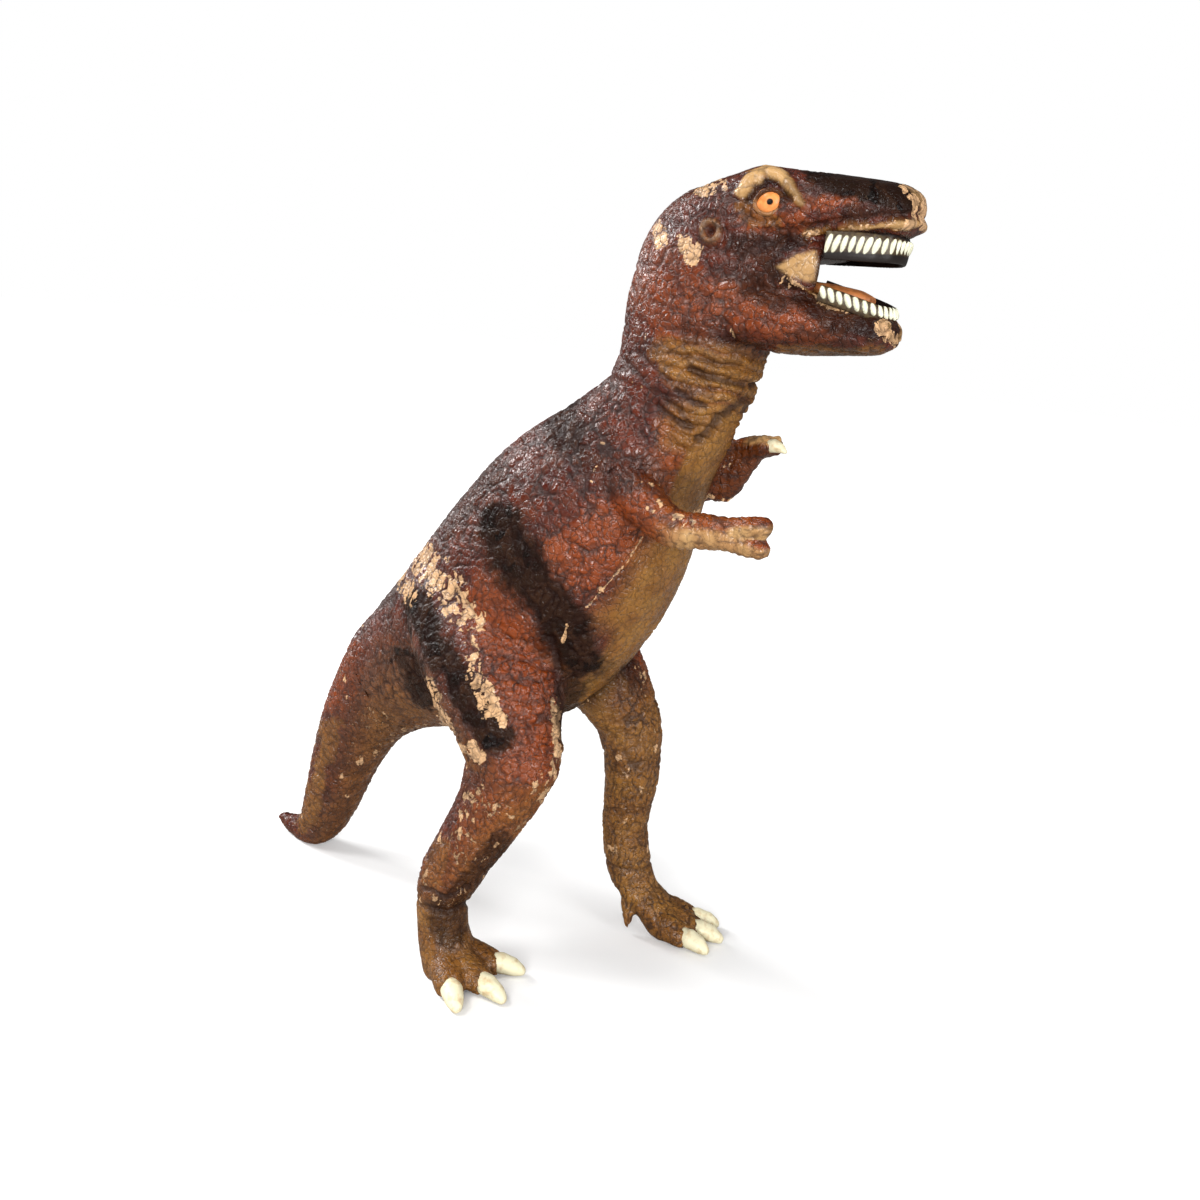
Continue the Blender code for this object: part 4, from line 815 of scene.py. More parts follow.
def raise_skin(skin, hide):
    """Moves the skin's points to their relief, lower near the neck seam and none at the soles."""
    offset = pattern_relief(skin, hide) + fold_relief(skin, hide) + head_relief(skin)
    offset *= 0.2 + 0.8 * smooth_step(0.2, 2.2, np.abs(skin.above))
    offset -= SEAM_DEPTH * bell(skin.above, SEAM_WIDTH)
    offset *= smooth_step(0.2, 1.5, skin.z)
    skin.points += skin.normals * (offset * MM)[:, None]
    deepen_gape(skin)
    skin.points[:, 2] = np.maximum(skin.points[:, 2], 0)


def dark_areas(skin):
    """Where black paint is sprayed, and painted shade: in the hollow along the thigh's front edge, under the
    brow and on the left arm's underside.
    """
    pixels, normals = skin.pixels, skin.normals
    flank = strokes(pixels, DARK_STROKES, skin.rough) * (1 - skin.left_leg * 0.9) * skin.body
    face = strokes(pixels, HEAD_DARKS, skin.rough) * skin.head
    ear = 0.8 * smooth_step(0.4, 0.15, skin.ear_gap) * skin.outside * skin.head
    # the left arm is darkened where it faces down: painted shade on its underside
    return strongest(flank, face, ear, skin.left_arm * 0.55 * smooth_step(0.5, 0.0, normals[:, 2]))


def warm_areas(skin):
    """Where the brown turns to orange."""
    flank = strokes(skin.pixels, WARM_STROKES, skin.rough) * (1 - skin.left_leg * 0.6) * skin.body
    face = strokes(skin.pixels, HEAD_WARMS, skin.rough) * skin.head
    return strongest(flank, face, skin.arm * 0.8)


def tan_areas(skin, hide):
    """Where belly, throat, feet and inner sides are tan, and the neck folds, whose tan skin is made lighter
    on their ridges as painted highlight.
    """
    pixels, rough, normals, body = skin.pixels, skin.rough, skin.normals, skin.body
    throat = strokes(pixels, (THROAT_TAN,), rough * 0.8) * body * (1 - skin.thigh)
    underneath = smooth_step(0.3, -0.6, normals[:, 2]) * smooth_step(110, 90, skin.z)
    inward = smooth_step(0.1, 0.5, -normals[:, 1] * np.sign(skin.side))
    return strongest(
        np.maximum(throat, skin.belly) * (1 - 0.85 * skin.arm),
        strokes(pixels, TAN_STROKES, rough * 0.8) * body,
        skin.left_leg * 0.9,
        smooth_step(34, 20, skin.z) * (1 - skin.tail) * 0.85,
        underneath * (0.6 - 0.4 * skin.tail),
        skin.thigh * inward * 0.9,
        strokes(pixels, HEAD_TANS, rough * 0.6) * skin.head,
        # the neck's own tan, and a painted highlight on the fold ridges
        skin.neck_fold * (0.25 + 0.7 * hide.folds),
        strokes(pixels, (NECK_TAN,), rough) * skin.head,
    )


def bare_and_sheen_places(skin, hide):
    """Where the paint is gone: whole plates in the worn patches, specks, rubbed cracks and scratches; a faint
    patch of pale plates on the shoulder is a painted highlight.
    """
    pixels, points = skin.pixels, skin.points
    patches = strokes(pixels, WEAR_AND_SHEEN_STROKES, skin.rough * 0.4) * (1 - skin.left_leg) * skin.body
    face_patches = strokes(pixels, HEAD_WEARS, skin.rough * 0.4) * skin.outside * skin.head
    patches = np.maximum(patches, face_patches)
    chips_and_sheen = smooth_step(0.0, 0.06, patches - 0.35 * hide.own - 0.65 * hide.fine_own + 0.05)
    chips_and_sheen *= smooth_step(0.15, 0.45, hide.plates)
    lower_leg = np.maximum(skin.shin, skin.foot) * (1 - skin.foot)
    chance = 0.03 + 0.05 * lower_leg + 0.04 * skin.tail
    specks = smooth_step(0.0, 0.05, chance - hide.fine_own) * (hide.fine > 0.6) * (1 - skin.inner)
    rubbed = smooth_step(0.5, 0.85, hide.upright) * smooth_step(-0.3, 0.3, lumps(points, 6 * MM, 29))
    rubbed *= skin.shin * (1 - skin.foot) * skin.right
    scratched = strokes(pixels, SCRATCHES, lumps(points, 1 * MM, 23)) * skin.right * skin.body
    return strongest(chips_and_sheen, specks * 0.6, 0.7 * rubbed, scratched) * (1 - skin.inner)


def pale_places(skin):
    """Where pale paint lies: under the right arm, on the left arm, cheek webs, brow, lips and ear rim."""
    up, side_on = skin.normals[:, 2], skin.outside * skin.head
    right = skin.right_arm * smooth_step(0.5, 0.0, up) * smooth_step(52, 64, skin.x)
    left = skin.left_arm * smooth_step(56, 60, skin.x) * smooth_step(0.0, 0.5, up)
    pale = strongest(
        np.maximum(right, left) * (0.8 + 0.3 * lumps(skin.points, 3 * MM, 27)),
        skin.web * 0.85,
        strokes(skin.pixels, HEAD_PALES, skin.rough * 0.3) * side_on,
        0.35 * bell(skin.ear_gap - EAR_RIM, EAR_RIM_WIDTH) * side_on,
    )
    return np.clip(pale, 0, 1) * (1 - skin.inner)


def dress_skin(mesh):
    """Gives the whole skin its relief, and the masks that the hide's paint reads."""
    skin = look_over(mesh)
    hide = mould_patterns(skin)
    raise_skin(skin, hide)
    place(mesh, skin.points)
    paint = (dark_areas(skin), tan_areas(skin, hide), warm_areas(skin), bare_and_sheen_places(skin, hide))
    # the paint darkens with the relief's depth: painted shade in the grooves, cracks and creases
    cracks = np.clip(crack_shade_depths(skin, hide), 0, 1)
    relief = (cracks, hide.own, skin.inner, pale_places(skin))
    keep_masks(mesh, "paint", paint)
    keep_masks(mesh, "relief", relief)


# Materials

# Sizes of the paint's patterns in millimetres. Its real grain and cracks are finer, and are drawn as coarse
# as they need to be to show.
PAINT_CLOUDS = 9
PAINT_GRAIN = 0.8
CRACKLE_FLOW, CRACKLE_REACH = 2.4, 2.2
CRACKLE_PLATES = 2.3
CRACKLE_LINES = 1.5
IVORY_STAINS = 2.2
TOOTH_STAINS = 0.8
MOUTH_STAINS = 1.8
ENAMEL_CLOUDS = 1.2
VINYL_CLOUDS = 1.5

# The refraction of vinyl and of the paints on it
VINYL_IOR = 1.5

# A colour Mix node's inputs and output
MIX_SHARE, MIX_UNDER, MIX_OVER, MIX_OUT = 0, 6, 7, 2


def linear(code):
    """An sRGB hex colour as linear red, green, blue and alpha."""
    parts = [int(code[i : i + 2], 16) / 255 for i in (1, 3, 5)]
    return (*[p / 12.92 if p <= 0.04045 else ((p + 0.055) / 1.055) ** 2.4 for p in parts], 1)


def add_node(tree, kind, sockets=(), **settings):
    """Adds a node; sockets gives its inputs, by name or in order: values, or other nodes' outputs to link."""
    made = tree.nodes.new("ShaderNode" + kind)
    for name, value in settings.items():
        setattr(made, name, value)
    for key, value in sockets.items() if isinstance(sockets, dict) else enumerate(sockets):
        if isinstance(value, bpy.types.NodeSocket):
            tree.links.new(value, made.inputs[key])
        else:
            made.inputs[key].default_value = value
    return made


def coats(tree, colour, *layers):
    """A base colour under coats of paint, each given as the share that it covers and its colour."""
    for share, paint in layers:
        under, over = (linear(part) if isinstance(part, str) else part for part in (colour, paint))
        sockets = {MIX_SHARE: share, MIX_UNDER: under, MIX_OVER: over}
        colour = add_node(tree, "Mix", sockets, data_type="RGBA").outputs[MIX_OUT]
    return colour


def blank_material(name, **values):
    """A Principled material and its tree, shader and object coordinates."""
    made = bpy.data.materials.new(name)
    made.use_nodes = True
    tree = made.node_tree
    shader = tree.nodes["Principled BSDF"]
    for key, value in values.items():
        shader.inputs[key.replace("_", " ")].default_value = value
    spot = add_node(tree, "TexCoord").outputs["Object"]
    return made, tree, shader, spot


def crackle(tree, spot):
    """Height of the fine plates and lines in the hide's paint, from 0 in a crack to 1.5."""
    waves = {"Vector": spot, "Scale": 1 / (CRACKLE_FLOW * MM), "Detail": 2}
    flow = add_node(tree, "TexNoise", waves).outputs["Color"]
    reach = (CRACKLE_REACH * MM,) * 3
    pushed = add_node(tree, "VectorMath", (flow, reach, spot), operation="MULTIPLY_ADD").outputs[0]
    plates = {"Vector": pushed, "Scale": 1 / (CRACKLE_PLATES * MM)}
    edge = add_node(tree, "TexVoronoi", plates, feature="DISTANCE_TO_EDGE").outputs["Distance"]
    lines = {"Vector": pushed, "Scale": 1 / (CRACKLE_LINES * MM), "Detail": 2}
    wave = add_node(tree, "TexNoise", lines).outputs["Fac"]
    level = add_node(tree, "Math", (wave, 0.5), operation="SUBTRACT").outputs[0]
    ridge = add_node(tree, "Math", (level,), operation="ABSOLUTE").outputs[0]
    lined = add_node(tree, "MapRange", (ridge, 0.0, 0.05, 0, 1)).outputs[0]
    plated = add_node(tree, "MapRange", (edge, 0.0, 0.12, 0, 1)).outputs[0]
    return add_node(tree, "Math", (lined, 0.5, plated), operation="MULTIPLY_ADD").outputs[0]


def worn_and_sheen(tree, wear_and_sheen, grain):
    """Where the paint is gone, with an edge made uneven by the grain; this also carries the shoulder's
    painted highlight.
    """
    uneven = add_node(tree, "Math", (grain, 0.5), operation="SUBTRACT").outputs[0]
    worn = add_node(tree, "Math", (uneven, 0.9, wear_and_sheen), operation="MULTIPLY_ADD").outputs[0]
    return add_node(tree, "MapRange", (worn, 0.42, 0.55, 0, 1)).outputs[0]


def crack_shade_shares(tree, raised, groove_shade, tan, pale):
    """How dark the painted shade in the deep grooves and the fine cracks is: less on tan skin, least under
    pale paint.
    """
    deep = add_node(tree, "MapRange", (groove_shade, 0.1, 0.8, 0.0, 0.72)).outputs[0]
    darkest = add_node(tree, "MapRange", (tan, 0, 1, 0.85, 0.5)).outputs[0]
    softened = add_node(tree, "Math", (pale, -0.45, darkest), operation="MULTIPLY_ADD").outputs[0]
    fine = add_node(tree, "MapRange", (raised, 0.1, 1.1, softened, 0.0)).outputs[0]
    return deep, fine


def painted_hide():
    """Moulded vinyl, spray painted: glossy plates, dull grooves darkened as painted shade, and beige where
    the paint is gone.
    """
    made, tree, shader, spot = blank_material("spray painted vinyl hide", IOR=VINYL_IOR)
    paint = add_node(tree, "Attribute", attribute_name="paint")
    relief = add_node(tree, "Attribute", attribute_name="relief")
    dark, tan, warm = add_node(tree, "SeparateColor", (paint.outputs["Color"],)).outputs[:3]
    groove_shade, own, mouth = add_node(tree, "SeparateColor", (relief.outputs["Color"],)).outputs[:3]
    wear_and_sheen, pale = paint.outputs["Alpha"], relief.outputs["Alpha"]
    noise = {"Vector": spot, "Scale": 1 / (PAINT_CLOUDS * MM), "Detail": 3}
    clouds = add_node(tree, "TexNoise", noise).outputs["Fac"]
    noise = {"Vector": spot, "Scale": 1 / (PAINT_GRAIN * MM), "Detail": 4}
    grain = add_node(tree, "TexNoise", noise).outputs["Fac"]
    raised = crackle(tree, spot)
    cloudy = add_node(tree, "MapRange", (clouds, 0.38, 0.62, 0, 1)).outputs[0]
    varied = add_node(tree, "MapRange", (own, 0, 1, 0.0, 0.1)).outputs[0]
    deep, fine = crack_shade_shares(tree, raised, groove_shade, tan, pale)
    colour = coats(
        tree,
        "#44150a",
        (cloudy, "#5c1f09"),
        (warm, "#85390a"),
        (tan, coats(tree, "#7d501c", (cloudy, "#92652a"))),
        (dark, "#080403"),
        (varied, "#9a6648"),
        (pale, "#bd9562"),
        (worn_and_sheen(tree, wear_and_sheen, grain), "#d0a67b"),
        # painted shade in the deep grooves and fine cracks; between worn plates it also keeps the paint left
        # in their grooves
        (deep, "#1f0b06"),
        (fine, "#1f0b06"),
        (mouth, "#140a08"),
    )
    gloss = add_node(tree, "MapRange", (grain, 0.3, 0.7, 0.2, 0.32)).outputs[0]
    rough = add_node(tree, "Math", (groove_shade, 0.3, gloss), operation="MULTIPLY_ADD").outputs[0]
    shine = add_node(tree, "MapRange", (dark, 0.3, 1.0, 0.45, 0.12)).outputs[0]
    crisp = add_node(tree, "MapRange", (pale, 0, 1, 0.65, 0.2)).outputs[0]
    bump = add_node(tree, "Bump", {"Height": raised, "Strength": crisp, "Distance": 0.2 * MM}).outputs[0]
    grainy = {"Height": grain, "Strength": 0.16, "Distance": 0.3 * MM, "Normal": bump}
    tree.links.new(colour, shader.inputs["Base Color"])
    tree.links.new(rough, shader.inputs["Roughness"])
    tree.links.new(shine, shader.inputs["Specular IOR Level"])
    tree.links.new(add_node(tree, "Bump", grainy).outputs[0], shader.inputs["Normal"])
    return made


def brushed_ivory():
    """Brush-painted ivory on vinyl claws: pale and smooth, with ochre stains left in it."""
    made, tree, shader, spot = blank_material("ivory claw paint", IOR=VINYL_IOR, Roughness=0.42)
    noise = {"Vector": spot, "Scale": 1 / (IVORY_STAINS * MM), "Detail": 5}
    stains = add_node(tree, "TexNoise", noise).outputs["Fac"]
    stained = add_node(tree, "MapRange", (stains, 0.5, 0.72, 0, 0.6)).outputs[0]
    bump = add_node(tree, "Bump", {"Height": stains, "Strength": 0.3, "Distance": 0.3 * MM})
    tree.links.new(coats(tree, "#e8e0bd", (stained, "#b58a4e")), shader.inputs["Base Color"])
    tree.links.new(bump.outputs[0], shader.inputs["Normal"])
    return made


def painted_teeth():
    """Ivory brushed over the raised ovals: brown gum shows between them, and the row's back stays dark."""
    made, tree, shader, spot = blank_material("ivory tooth paint", IOR=VINYL_IOR, Roughness=0.4)
    masks = add_node(tree, "Attribute", attribute_name="ivory").outputs["Color"]
    ivory, hidden = add_node(tree, "SeparateColor", (masks,)).outputs[:2]
    noise = {"Vector": spot, "Scale": 1 / (TOOTH_STAINS * MM), "Detail": 3}
    stains = add_node(tree, "TexNoise", noise).outputs["Fac"]
    stained = add_node(tree, "MapRange", (stains, 0.5, 0.75, 0, 0.5)).outputs[0]
    mottled = add_node(tree, "MapRange", (stains, 0.4, 0.7, 0, 1)).outputs[0]
    tooth = coats(tree, "#e9e9cf", (stained, "#b9b48c"))
    colour = coats(tree, "#33210f", (mottled, "#5a4a2c"), (hidden, "#150b08"), (ivory, tooth))
    bump = add_node(tree, "Bump", {"Height": stains, "Strength": 0.2, "Distance": 0.15 * MM})
    tree.links.new(colour, shader.inputs["Base Color"])
    tree.links.new(bump.outputs[0], shader.inputs["Normal"])
    return made


def painted_mouth(name, code, deep):
    """Matt paint inside the mouth, mottled darker in stains."""
    made, tree, shader, spot = blank_material(name, IOR=VINYL_IOR, Roughness=0.55)
    noise = {"Vector": spot, "Scale": 1 / (MOUTH_STAINS * MM), "Detail": 4}
    stains = add_node(tree, "TexNoise", noise).outputs["Fac"]
    stained = add_node(tree, "MapRange", (stains, 0.4, 0.7, 0, 0.7)).outputs[0]
    bump = add_node(tree, "Bump", {"Height": stains, "Strength": 0.4, "Distance": 0.4 * MM})
    tree.links.new(coats(tree, code, (stained, deep)), shader.inputs["Base Color"])
    tree.links.new(bump.outputs[0], shader.inputs["Normal"])
    return made


def painted_eye():
    """Orange enamel on a bead of vinyl, glossy, with a black pupil that is kept from glinting."""
    made, tree, shader, spot = blank_material("orange eye enamel", IOR=VINYL_IOR, Roughness=0.32)
    pupil = add_node(tree, "Attribute", attribute_name="pupil").outputs["Fac"]
    noise = {"Vector": spot, "Scale": 1 / (ENAMEL_CLOUDS * MM), "Detail": 3}
    clouds = add_node(tree, "TexNoise", noise).outputs["Fac"]
    cloudy = add_node(tree, "MapRange", (clouds, 0.35, 0.65, 0, 1)).outputs[0]
    shine = add_node(tree, "MapRange", (pupil, 0, 1, 0.5, 0.05)).outputs[0]
    colour = coats(tree, "#ef9a55", (cloudy, "#d97f3e"), (pupil, "#120c0a"))
    tree.links.new(colour, shader.inputs["Base Color"])
    tree.links.new(shine, shader.inputs["Specular IOR Level"])
    return made


def bare_vinyl():
    """Unpainted beige vinyl inside the neck, slightly cloudy from its mould."""
    made, tree, shader, spot = blank_material("bare moulded vinyl", IOR=VINYL_IOR, Roughness=0.5)
    clouds = add_node(tree, "TexNoise", {"Vector": spot, "Scale": 1 / (VINYL_CLOUDS * MM)}).outputs["Fac"]
    cloudy = add_node(tree, "MapRange", (clouds, 0.3, 0.7, 0, 1)).outputs[0]
    tree.links.new(coats(tree, "#d8b48c", (cloudy, "#c8a078")), shader.inputs["Base Color"])
    return made


def finish_with(piece, finish, slot, body):
    """Gives a piece its material and body; slot is not used."""
    piece.data.materials.clear()
    piece.data.materials.append(finish)
    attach(piece, body)
    return piece


# Pieces

SLOTS = {"leg": "leg_skin", "foot": "leg_skin", "arm": "arm_skin"}


def make_skin(hide):
    """The hide in one flow from snout to tail, split where the CAD's pieces meet."""
    whole = gathered("whole_skin", BODY_NODES + HEAD_NODES + NECK_FILL)
    fill_hollows(whole)
    remeshed(whole, SKIN_GRID)
    outer_shell(whole)
    relaxed(whole, 6)
    subdivided(whole)
    relaxed(whole, 1)
    dress_skin(whole.data)
    for node, piece in split_like(whole).items():
        part = "head" if node in HEAD_NODES else "torso"
        slot = "head_skin" if part == "head" else SLOTS.get(node.split("_")[-1], "body_skin")
        finish_with(piece, hide, slot, part)
        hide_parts(node)


# How far the claws swell out of their CAD forms, how uneven they are, and how far they stay off the ground
CLAW_SWELL = 0.45 * MM
CLAW_LUMPS = 0.14 * MM
CLAW_LIFT = 0.05 * MM


def make_claws(ivory):
    """Blunt claws, smoothed from their CAD forms."""
    for node in CLAW_NODES:
        piece = gathered(node + "_skin", (node,))
        remeshed(piece, CLAW_GRID)
        relaxed(piece, 6)
        points = places_of(piece.data)
        swell = CLAW_SWELL + lumps(points, 2.2 * MM, 31) * CLAW_LUMPS
        points += normals_of(piece.data) * swell[:, None]
        points[:, 2] = np.maximum(points[:, 2], CLAW_LIFT)
        place(piece.data, points)
        piece.data.shade_smooth()
        finish_with(piece, ivory, "ivory", "torso")
        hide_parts(node)


# The right half of each gum line in millimetres, from the corner of the mouth to its front
UPPER_GUM = (
    (83.6, -9.9, 218.0),
    (89.9, -9.0, 218.1),
    (95.6, -7.6, 218.2),
    (98.3, -5.2, 218.5),
    (99.3, -0.6, 218.6),
)
LOWER_GUM = (
    (84.2, -11.0, 206.8),
    (89.8, -9.8, 205.5),
    (94.6, -8.2, 204.2),
    (97.2, -6.0, 203.4),
    (98.6, -0.8, 203.2),
)

# Each row: its node, which way its teeth rise, its gum line, the teeth's half height, the gum band's
# half width and half height, and the spacing of the teeth, in millimetres
TOOTH_ROWS = (
    ("upper_teeth", -1, UPPER_GUM, 1.85, (0.7, 3.4), 1.85),
    ("lower_teeth", 1, LOWER_GUM, 1.5, (0.7, 2.0), 2.1),
)
TOOTH_LEAN = 0.26
TOOTH_HALF_WIDTH = 0.58
TOOTH_HALF_DEPTH = 0.66
TOOTH_STANDS_OUT = 0.6
GUM_STEPS = 120

# On the far side, where the corner of the mouth lies deeper, each row runs back as far as this
FAR_ROW_END = 75.0


def gum_line(corners):
    """A smooth line through these corners and their mirror images, as evenly spaced points in millimetres."""
    right = np.array(corners)
    left = right[::-1] * (1, -1, 1) + (0, 2 * MIDDLE_Y / MM, 0)
    back = left[-1] + (left[-1] - left[-2]) * (left[-1][0] - FAR_ROW_END) / (left[-2][0] - left[-1][0])
    line = np.concatenate([right, left, back[None]])
    steps = np.concatenate([[0], np.cumsum(np.linalg.norm(np.diff(line, axis=0), axis=1))])
    even = np.linspace(0, steps[-1], GUM_STEPS)
    line = np.stack([np.interp(even, steps, axis) for axis in line.T], axis=1)
    for _ in range(12):
        line[1:-1] = (line[:-2] + 2 * line[1:-1] + line[2:]) / 4
    return line, steps[-1]


def swept(name, line, profile, closed=False):
    """A tube of this half width and half height along a line."""
    section = bpy.data.curves.new(name + "_section", "CURVE")
    section.dimensions = "2D"
    ring = section.splines.new("POLY")
    ring.points.add(15)
    ring.use_cyclic_u = True
    for index, point in enumerate(ring.points):
        angle = index * math.pi / 8
        point.co = (profile[0] * math.cos(angle) * MM, profile[1] * math.sin(angle) * MM, 0, 1)
    outline = placed(name + "_section", section)
    data = bpy.data.curves.new(name, "CURVE")
    data.dimensions = "3D"
    data.twist_mode = "Z_UP"
    data.bevel_mode = "OBJECT"
    data.bevel_object = outline
    data.use_fill_caps = not closed
    path = data.splines.new("POLY")
    path.points.add(len(line) - 1)
    path.use_cyclic_u = closed
    for point, spot in zip(path.points, line):
        point.co = (*(spot * MM), 1)
    tube = placed(name, data)
    graph = bpy.context.evaluated_depsgraph_get()
    mesh = bpy.data.meshes.new_from_object(tube.evaluated_get(graph))
    for made in (tube, outline):
        bpy.data.objects.remove(made)
    return placed(name, mesh)


def tooth_places(line, length, half_height, rise, spacing):
    """For each tooth its middle, and the row's directions along, out and up, as long as its half sizes."""
    count = int(length / spacing)
    last = len(line) - 1
    for number in range(count):
        at = (number + 0.5) / count * last
        index = int(at)
        middle = line[index] + (at - index) * (line[min(index + 1, last)] - line[index])
        along = line[min(index + 2, last)] - line[max(index - 1, 0)]
        along /= np.linalg.norm(along)
        out = np.cross(along, (0, 0, 1))
        out /= np.linalg.norm(out)
        varied, other = random_at(np.array([[number, 0, rise + 2], [number, 5, rise + 2]]), 71)
        up = np.array((-TOOTH_LEAN - 0.12 * (other - 0.5), 0, rise)) * half_height * (0.86 + 0.22 * varied)
        middle = middle + (0, 0, 0.5) + TOOTH_STANDS_OUT * out
        yield middle, along * (TOOTH_HALF_WIDTH + 0.16 * other), out * TOOTH_HALF_DEPTH, up


def set_teeth(piece, teeth):
    """Joins the teeth to their gum band as one moulding."""
    form = bmesh.new()
    form.from_mesh(piece.data)
    for middle, along, out, up in teeth:
        turn = Matrix((along * MM, out * MM, up * MM)).transposed().to_4x4()
        at = Matrix.Translation(middle * MM) @ turn
        bmesh.ops.create_icosphere(form, subdivisions=3, radius=1, matrix=at)
    form.to_mesh(piece.data)
    form.free()
    remeshed(piece, TOOTH_GRID)
    relaxed(piece, 2)


def mask_teeth(mesh, teeth):
    """Marks what is painted ivory, and what lies behind the teeth and stays dark."""
    points = places_of(mesh)
    ivory = np.zeros(len(points))
    hidden = np.zeros(len(points))
    nearest = np.full(len(points), 1e6)
    for middle, along, out, up in teeth:
        local = (points / MM - middle) @ np.linalg.inv(np.stack([along, out, up]))
        away = np.linalg.norm(local, axis=1)
        ivory = np.maximum(ivory, smooth_step(1.24, 1.08, away) * (local[:, 1] > -0.2))
        inside = np.maximum(smooth_step(-0.6, -1.1, local[:, 1]), smooth_step(0.9, 1.2, local[:, 2]))
        hidden = np.where(away < nearest, inside, hidden)
        nearest = np.minimum(nearest, away)
    keep_masks(mesh, "ivory", (ivory, hidden))


def make_teeth(tooth_paint):
    """Each row is one moulded strip: a gum band with a row of painted ovals standing out of it."""
    for node, rise, corners, half_height, profile, spacing in TOOTH_ROWS:
        line, length = gum_line(corners)
        piece = swept(node + "_skin", line, profile)
        teeth = list(tooth_places(line, length, half_height, rise, spacing))
        set_teeth(piece, teeth)
        mask_teeth(piece.data, teeth)
        piece.data.shade_smooth()
        finish_with(piece, tooth_paint, "tooth_white", "head")
        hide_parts(node)


# The mouth's unevenness, how far its floor runs back, and how far it is raised to show over the teeth
MOUTH_LUMPS = 0.12 * MM
FLOOR_REACH = 6 * MM
FLOOR_RISE = 1.7 * MM


def make_mouth(roof, floor):
    """The dark roof and the orange floor of the mouth."""
    for node, finish, slot in (("palate", roof, "mouth_dark"), ("mouth_floor", floor, "mouth_orange")):
        piece = gathered(node + "_skin", (node,))
        remeshed(piece, CLAW_GRID)
        relaxed(piece, 4)
        points = places_of(piece.data)
        points += normals_of(piece.data) * (lumps(points, 1.8 * MM, 35) * MOUTH_LUMPS)[:, None]
        if node == "mouth_floor":
            points[:, 0] -= FLOOR_REACH * smooth_step(91, 83, points[:, 0] / MM)
            points[:, 2] += FLOOR_RISE
        place(piece.data, points)
        piece.data.shade_smooth()
        finish_with(piece, finish, slot, "head")
        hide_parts(node)


# The eye beads against their CAD balls, where they look, and the rolled lids round them in millimetres
EYE_SWELL = 1.12
EYE_LOOK = (0.48, 1.0, -0.03)
PUPIL_EDGE = (0.957, 0.966)
LID_OPENING = (3.3, 2.8)
LID_THICK = 0.58
LID_OFF_BEAD = 0.12


def eye_bead(name, middle, radius, look):
    """An eye bead with a pupil where it looks."""
    form = bmesh.new()
    bmesh.ops.create_uvsphere(form, u_segments=128, v_segments=64, radius=radius)
    bmesh.ops.scale(form, vec=(1.0, 0.98, 0.97), verts=form.verts)
    bmesh.ops.translate(form, vec=Vector(middle), verts=form.verts)
    mesh = mesh_of(name, form)
    away = (places_of(mesh) - middle) @ look / radius
    pupil = mesh.attributes.new("pupil", "FLOAT", "POINT")
    pupil.data.foreach_set("value", smooth_step(*PUPIL_EDGE, away).astype(np.float32))
    mesh.shade_smooth()
    return placed(name, mesh)


def eye_lid(name, middle, radius, look, out):
    """A rolled lid on the bead: a slanted almond, dark above as painted shade under the brow, and tan below.
    """
    ahead = np.array((look[1], -look[0], 0)) * out
    ahead /= np.linalg.norm(ahead)
    over = np.cross(ahead, look)
    over *= np.sign(over[2])
    angle = np.linspace(0, 2 * math.pi, 64, endpoint=False)
    across = LID_OPENING[0] * np.cos(angle) - 0.15
    up = LID_OPENING[1] * np.sign(np.sin(angle)) * np.abs(np.sin(angle)) ** 1.15 + 0.12 * across
    reach = radius / MM + LID_OFF_BEAD
    deep = np.sqrt(np.maximum(reach**2 - across**2 - up**2, 0.9))
    line = middle / MM + across[:, None] * ahead + up[:, None] * over + deep[:, None] * look
    lid = swept(name, line, (LID_THICK, LID_THICK), closed=True)
    points = places_of(lid.data)
    ones = np.ones(len(points))
    # the lid's upper half is darkened: painted shade under the brow
    upper = smooth_step(-0.3, 0.8, (points[:, 2] - middle[2]) / MM)
    keep_masks(lid.data, "paint", (0.7 * upper, 0.4 * ones, 0.8 * ones, 0 * ones))
    keep_masks(lid.data, "relief", (0.2 * ones, 0.5 * ones, 0 * ones, 0.3 * (1 - upper)))
    lid.data.shade_smooth()
    return lid


def make_eyes(enamel, hide):
    """Eye beads with a painted pupil that looks out and ahead, and a rolled lid round each."""
    for node, out in (("right_eye", -1), ("left_eye", 1)):
        low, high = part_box(node)
        middle = np.array((low + high) / 2)
        radius = EYE_SWELL * (high.z - low.z) / 2
        look = np.array(EYE_LOOK) * (1, out, 1)
        look /= np.linalg.norm(look)
        piece = eye_bead(node + "_skin", middle, radius, look)
        finish_with(piece, enamel, "eye_orange", "head")
        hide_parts(node)
        lid = eye_lid(node + "_lid", middle, radius, look, out)
        finish_with(lid, hide, "head_skin", "head")


def make_plug(vinyl):
    """The neck plug shows its own solid, in bare vinyl."""
    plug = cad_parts["neck_plug"]
    plug.data.materials.clear()
    plug.data.materials.append(vinyl)


# Stage, lights and camera

# The floor's half width in metres, its colour to the camera, and its colour in the light it throws back
FLOOR_HALF = 4
FLOOR_SEEN = (0.9, 0.9, 0.9, 1)
FLOOR_BOUNCE = (0.35, 0.33, 0.31, 1)

# Soft square lamps: place and side in metres, power in watts, all aimed at the figure's middle
FIGURE_MIDDLE = (0, 0, 0.12)
LAMPS = (
    ("key", (-0.95, -0.1, 0.6), 0.4, 10.5),
    ("fill", (0.45, -1.0, 0.4), 0.4, 10.5),
    ("front", (1.0, -0.15, 0.35), 0.4, 4.5),
    ("top", (-0.35, -0.5, 0.95), 0.25, 4),
)


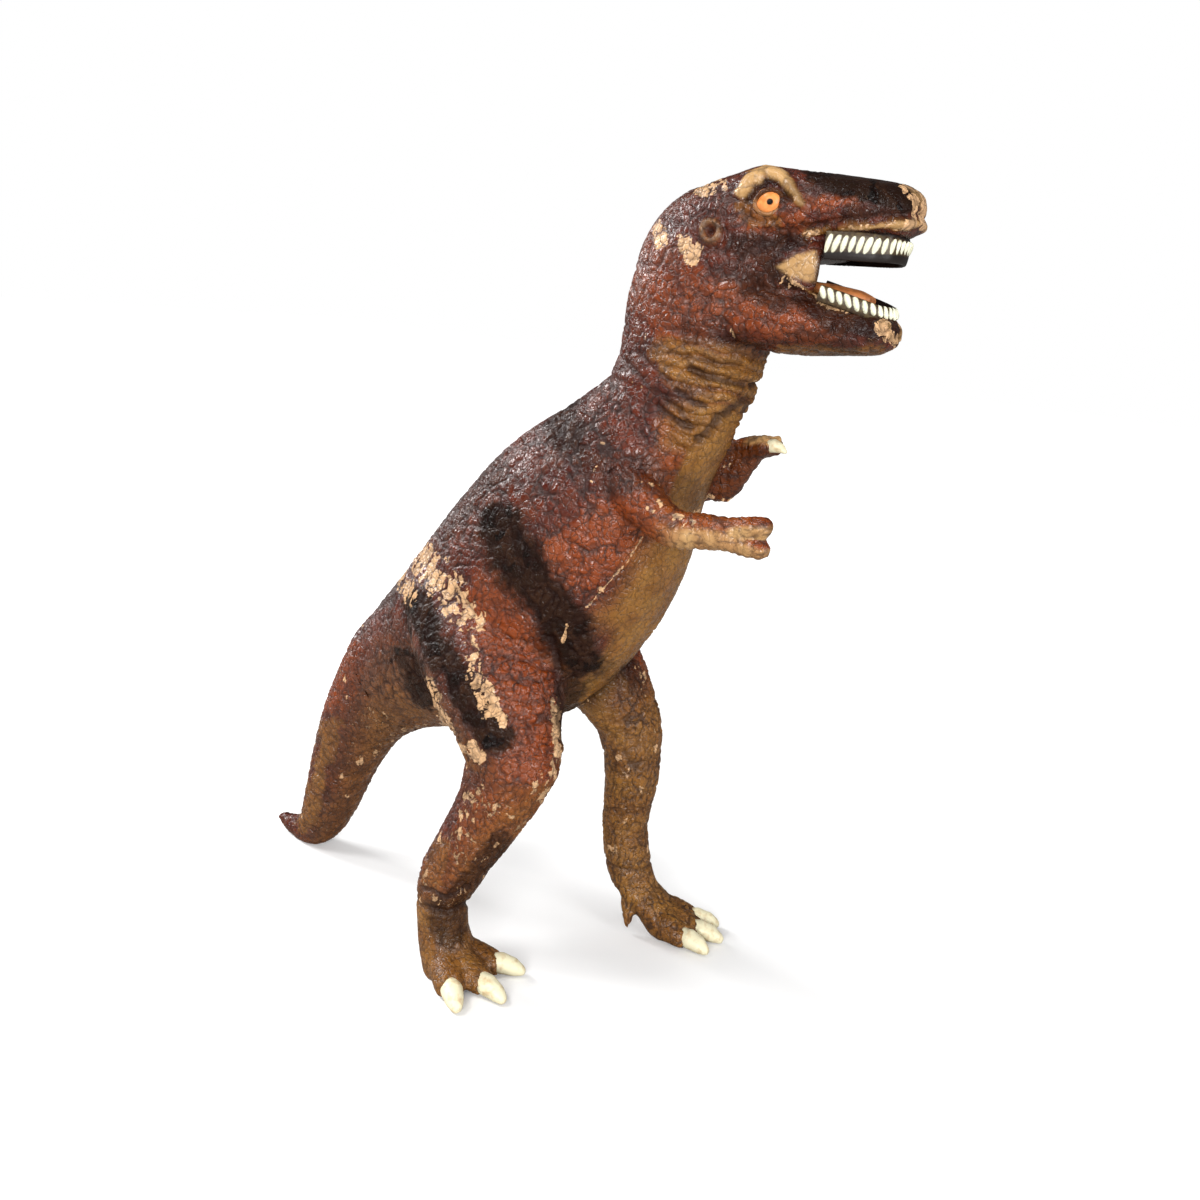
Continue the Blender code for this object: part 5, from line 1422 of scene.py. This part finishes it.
def make_stage():
    """A pale floor that stays white to the camera and keeps the figure's shadow."""
    form = bmesh.new()
    bmesh.ops.create_grid(form, x_segments=1, y_segments=1, size=FLOOR_HALF)
    floor = placed("floor", mesh_of("floor", form))
    finish, tree, shader, spot = blank_material("matt white paper", Roughness=0.9, Base_Color=FLOOR_SEEN)
    away = add_node(tree, "VectorMath", (spot,), operation="LENGTH").outputs["Value"]
    seen = add_node(tree, "LightPath").outputs["Is Camera Ray"]
    lift = add_node(tree, "MapRange", (away, 0.15, 0.9, 0.1, 0.75)).outputs[0]
    glow = add_node(tree, "Math", (lift, seen), operation="MULTIPLY").outputs[0]
    tree.links.new(glow, shader.inputs["Emission Strength"])
    tree.links.new(coats(tree, FLOOR_BOUNCE, (seen, FLOOR_SEEN)), shader.inputs["Base Color"])
    shader.inputs["Emission Color"].default_value = (1, 1, 1, 1)
    floor.data.materials.append(finish)


def make_world():
    """A white room to the camera, dimmer where it lights the figure and dimmest where it glints."""
    world = bpy.data.worlds.new("room")
    bpy.context.scene.world = world
    world.use_nodes = True
    tree = world.node_tree
    background = tree.nodes["Background"]
    rays = add_node(tree, "LightPath").outputs
    room = add_node(tree, "MapRange", (rays["Is Glossy Ray"], 0, 1, 0.42, 0.14)).outputs[0]
    strength = add_node(tree, "MapRange", (rays["Is Camera Ray"], 0, 1, room, 1.0)).outputs[0]
    tree.links.new(strength, background.inputs["Strength"])
    background.inputs["Color"].default_value = (1, 1, 1, 1)


def make_lamps():
    """The soft lamps."""
    for name, spot, size, power in LAMPS:
        data = bpy.data.lights.new(name, "AREA")
        data.size = size
        data.energy = power
        made = placed(name, data)
        made.location = spot
        made.rotation_euler = (Vector(FIGURE_MIDDLE) - Vector(spot)).to_track_quat("-Z", "Y").to_euler()


def make_camera():
    """The camera at the photograph's viewing angle."""
    data = bpy.data.cameras.new("camera")
    data.sensor_width = SENSOR
    data.lens = SENSOR * PHOTO_FOCAL / PHOTO_SIZE
    camera = placed("camera", data)
    turn = Matrix((PHOTO_RIGHT, PHOTO_UP, PHOTO_BACK)).transposed().to_4x4()
    camera.matrix_world = Matrix.Translation(PHOTO_EYE) @ turn
    bpy.context.scene.camera = camera


hide = painted_hide()
make_skin(hide)
make_claws(brushed_ivory())
make_teeth(painted_teeth())
make_mouth(
    painted_mouth("black mouth paint", "#2a1713", "#140b0a"),
    painted_mouth("orange mouth paint", "#b8703a", "#6a3a20"),
)
make_eyes(painted_eye(), hide)
make_plug(bare_vinyl())

make_stage()
make_world()
make_lamps()
make_camera()
bpy.context.scene.view_settings.view_transform = "Standard"
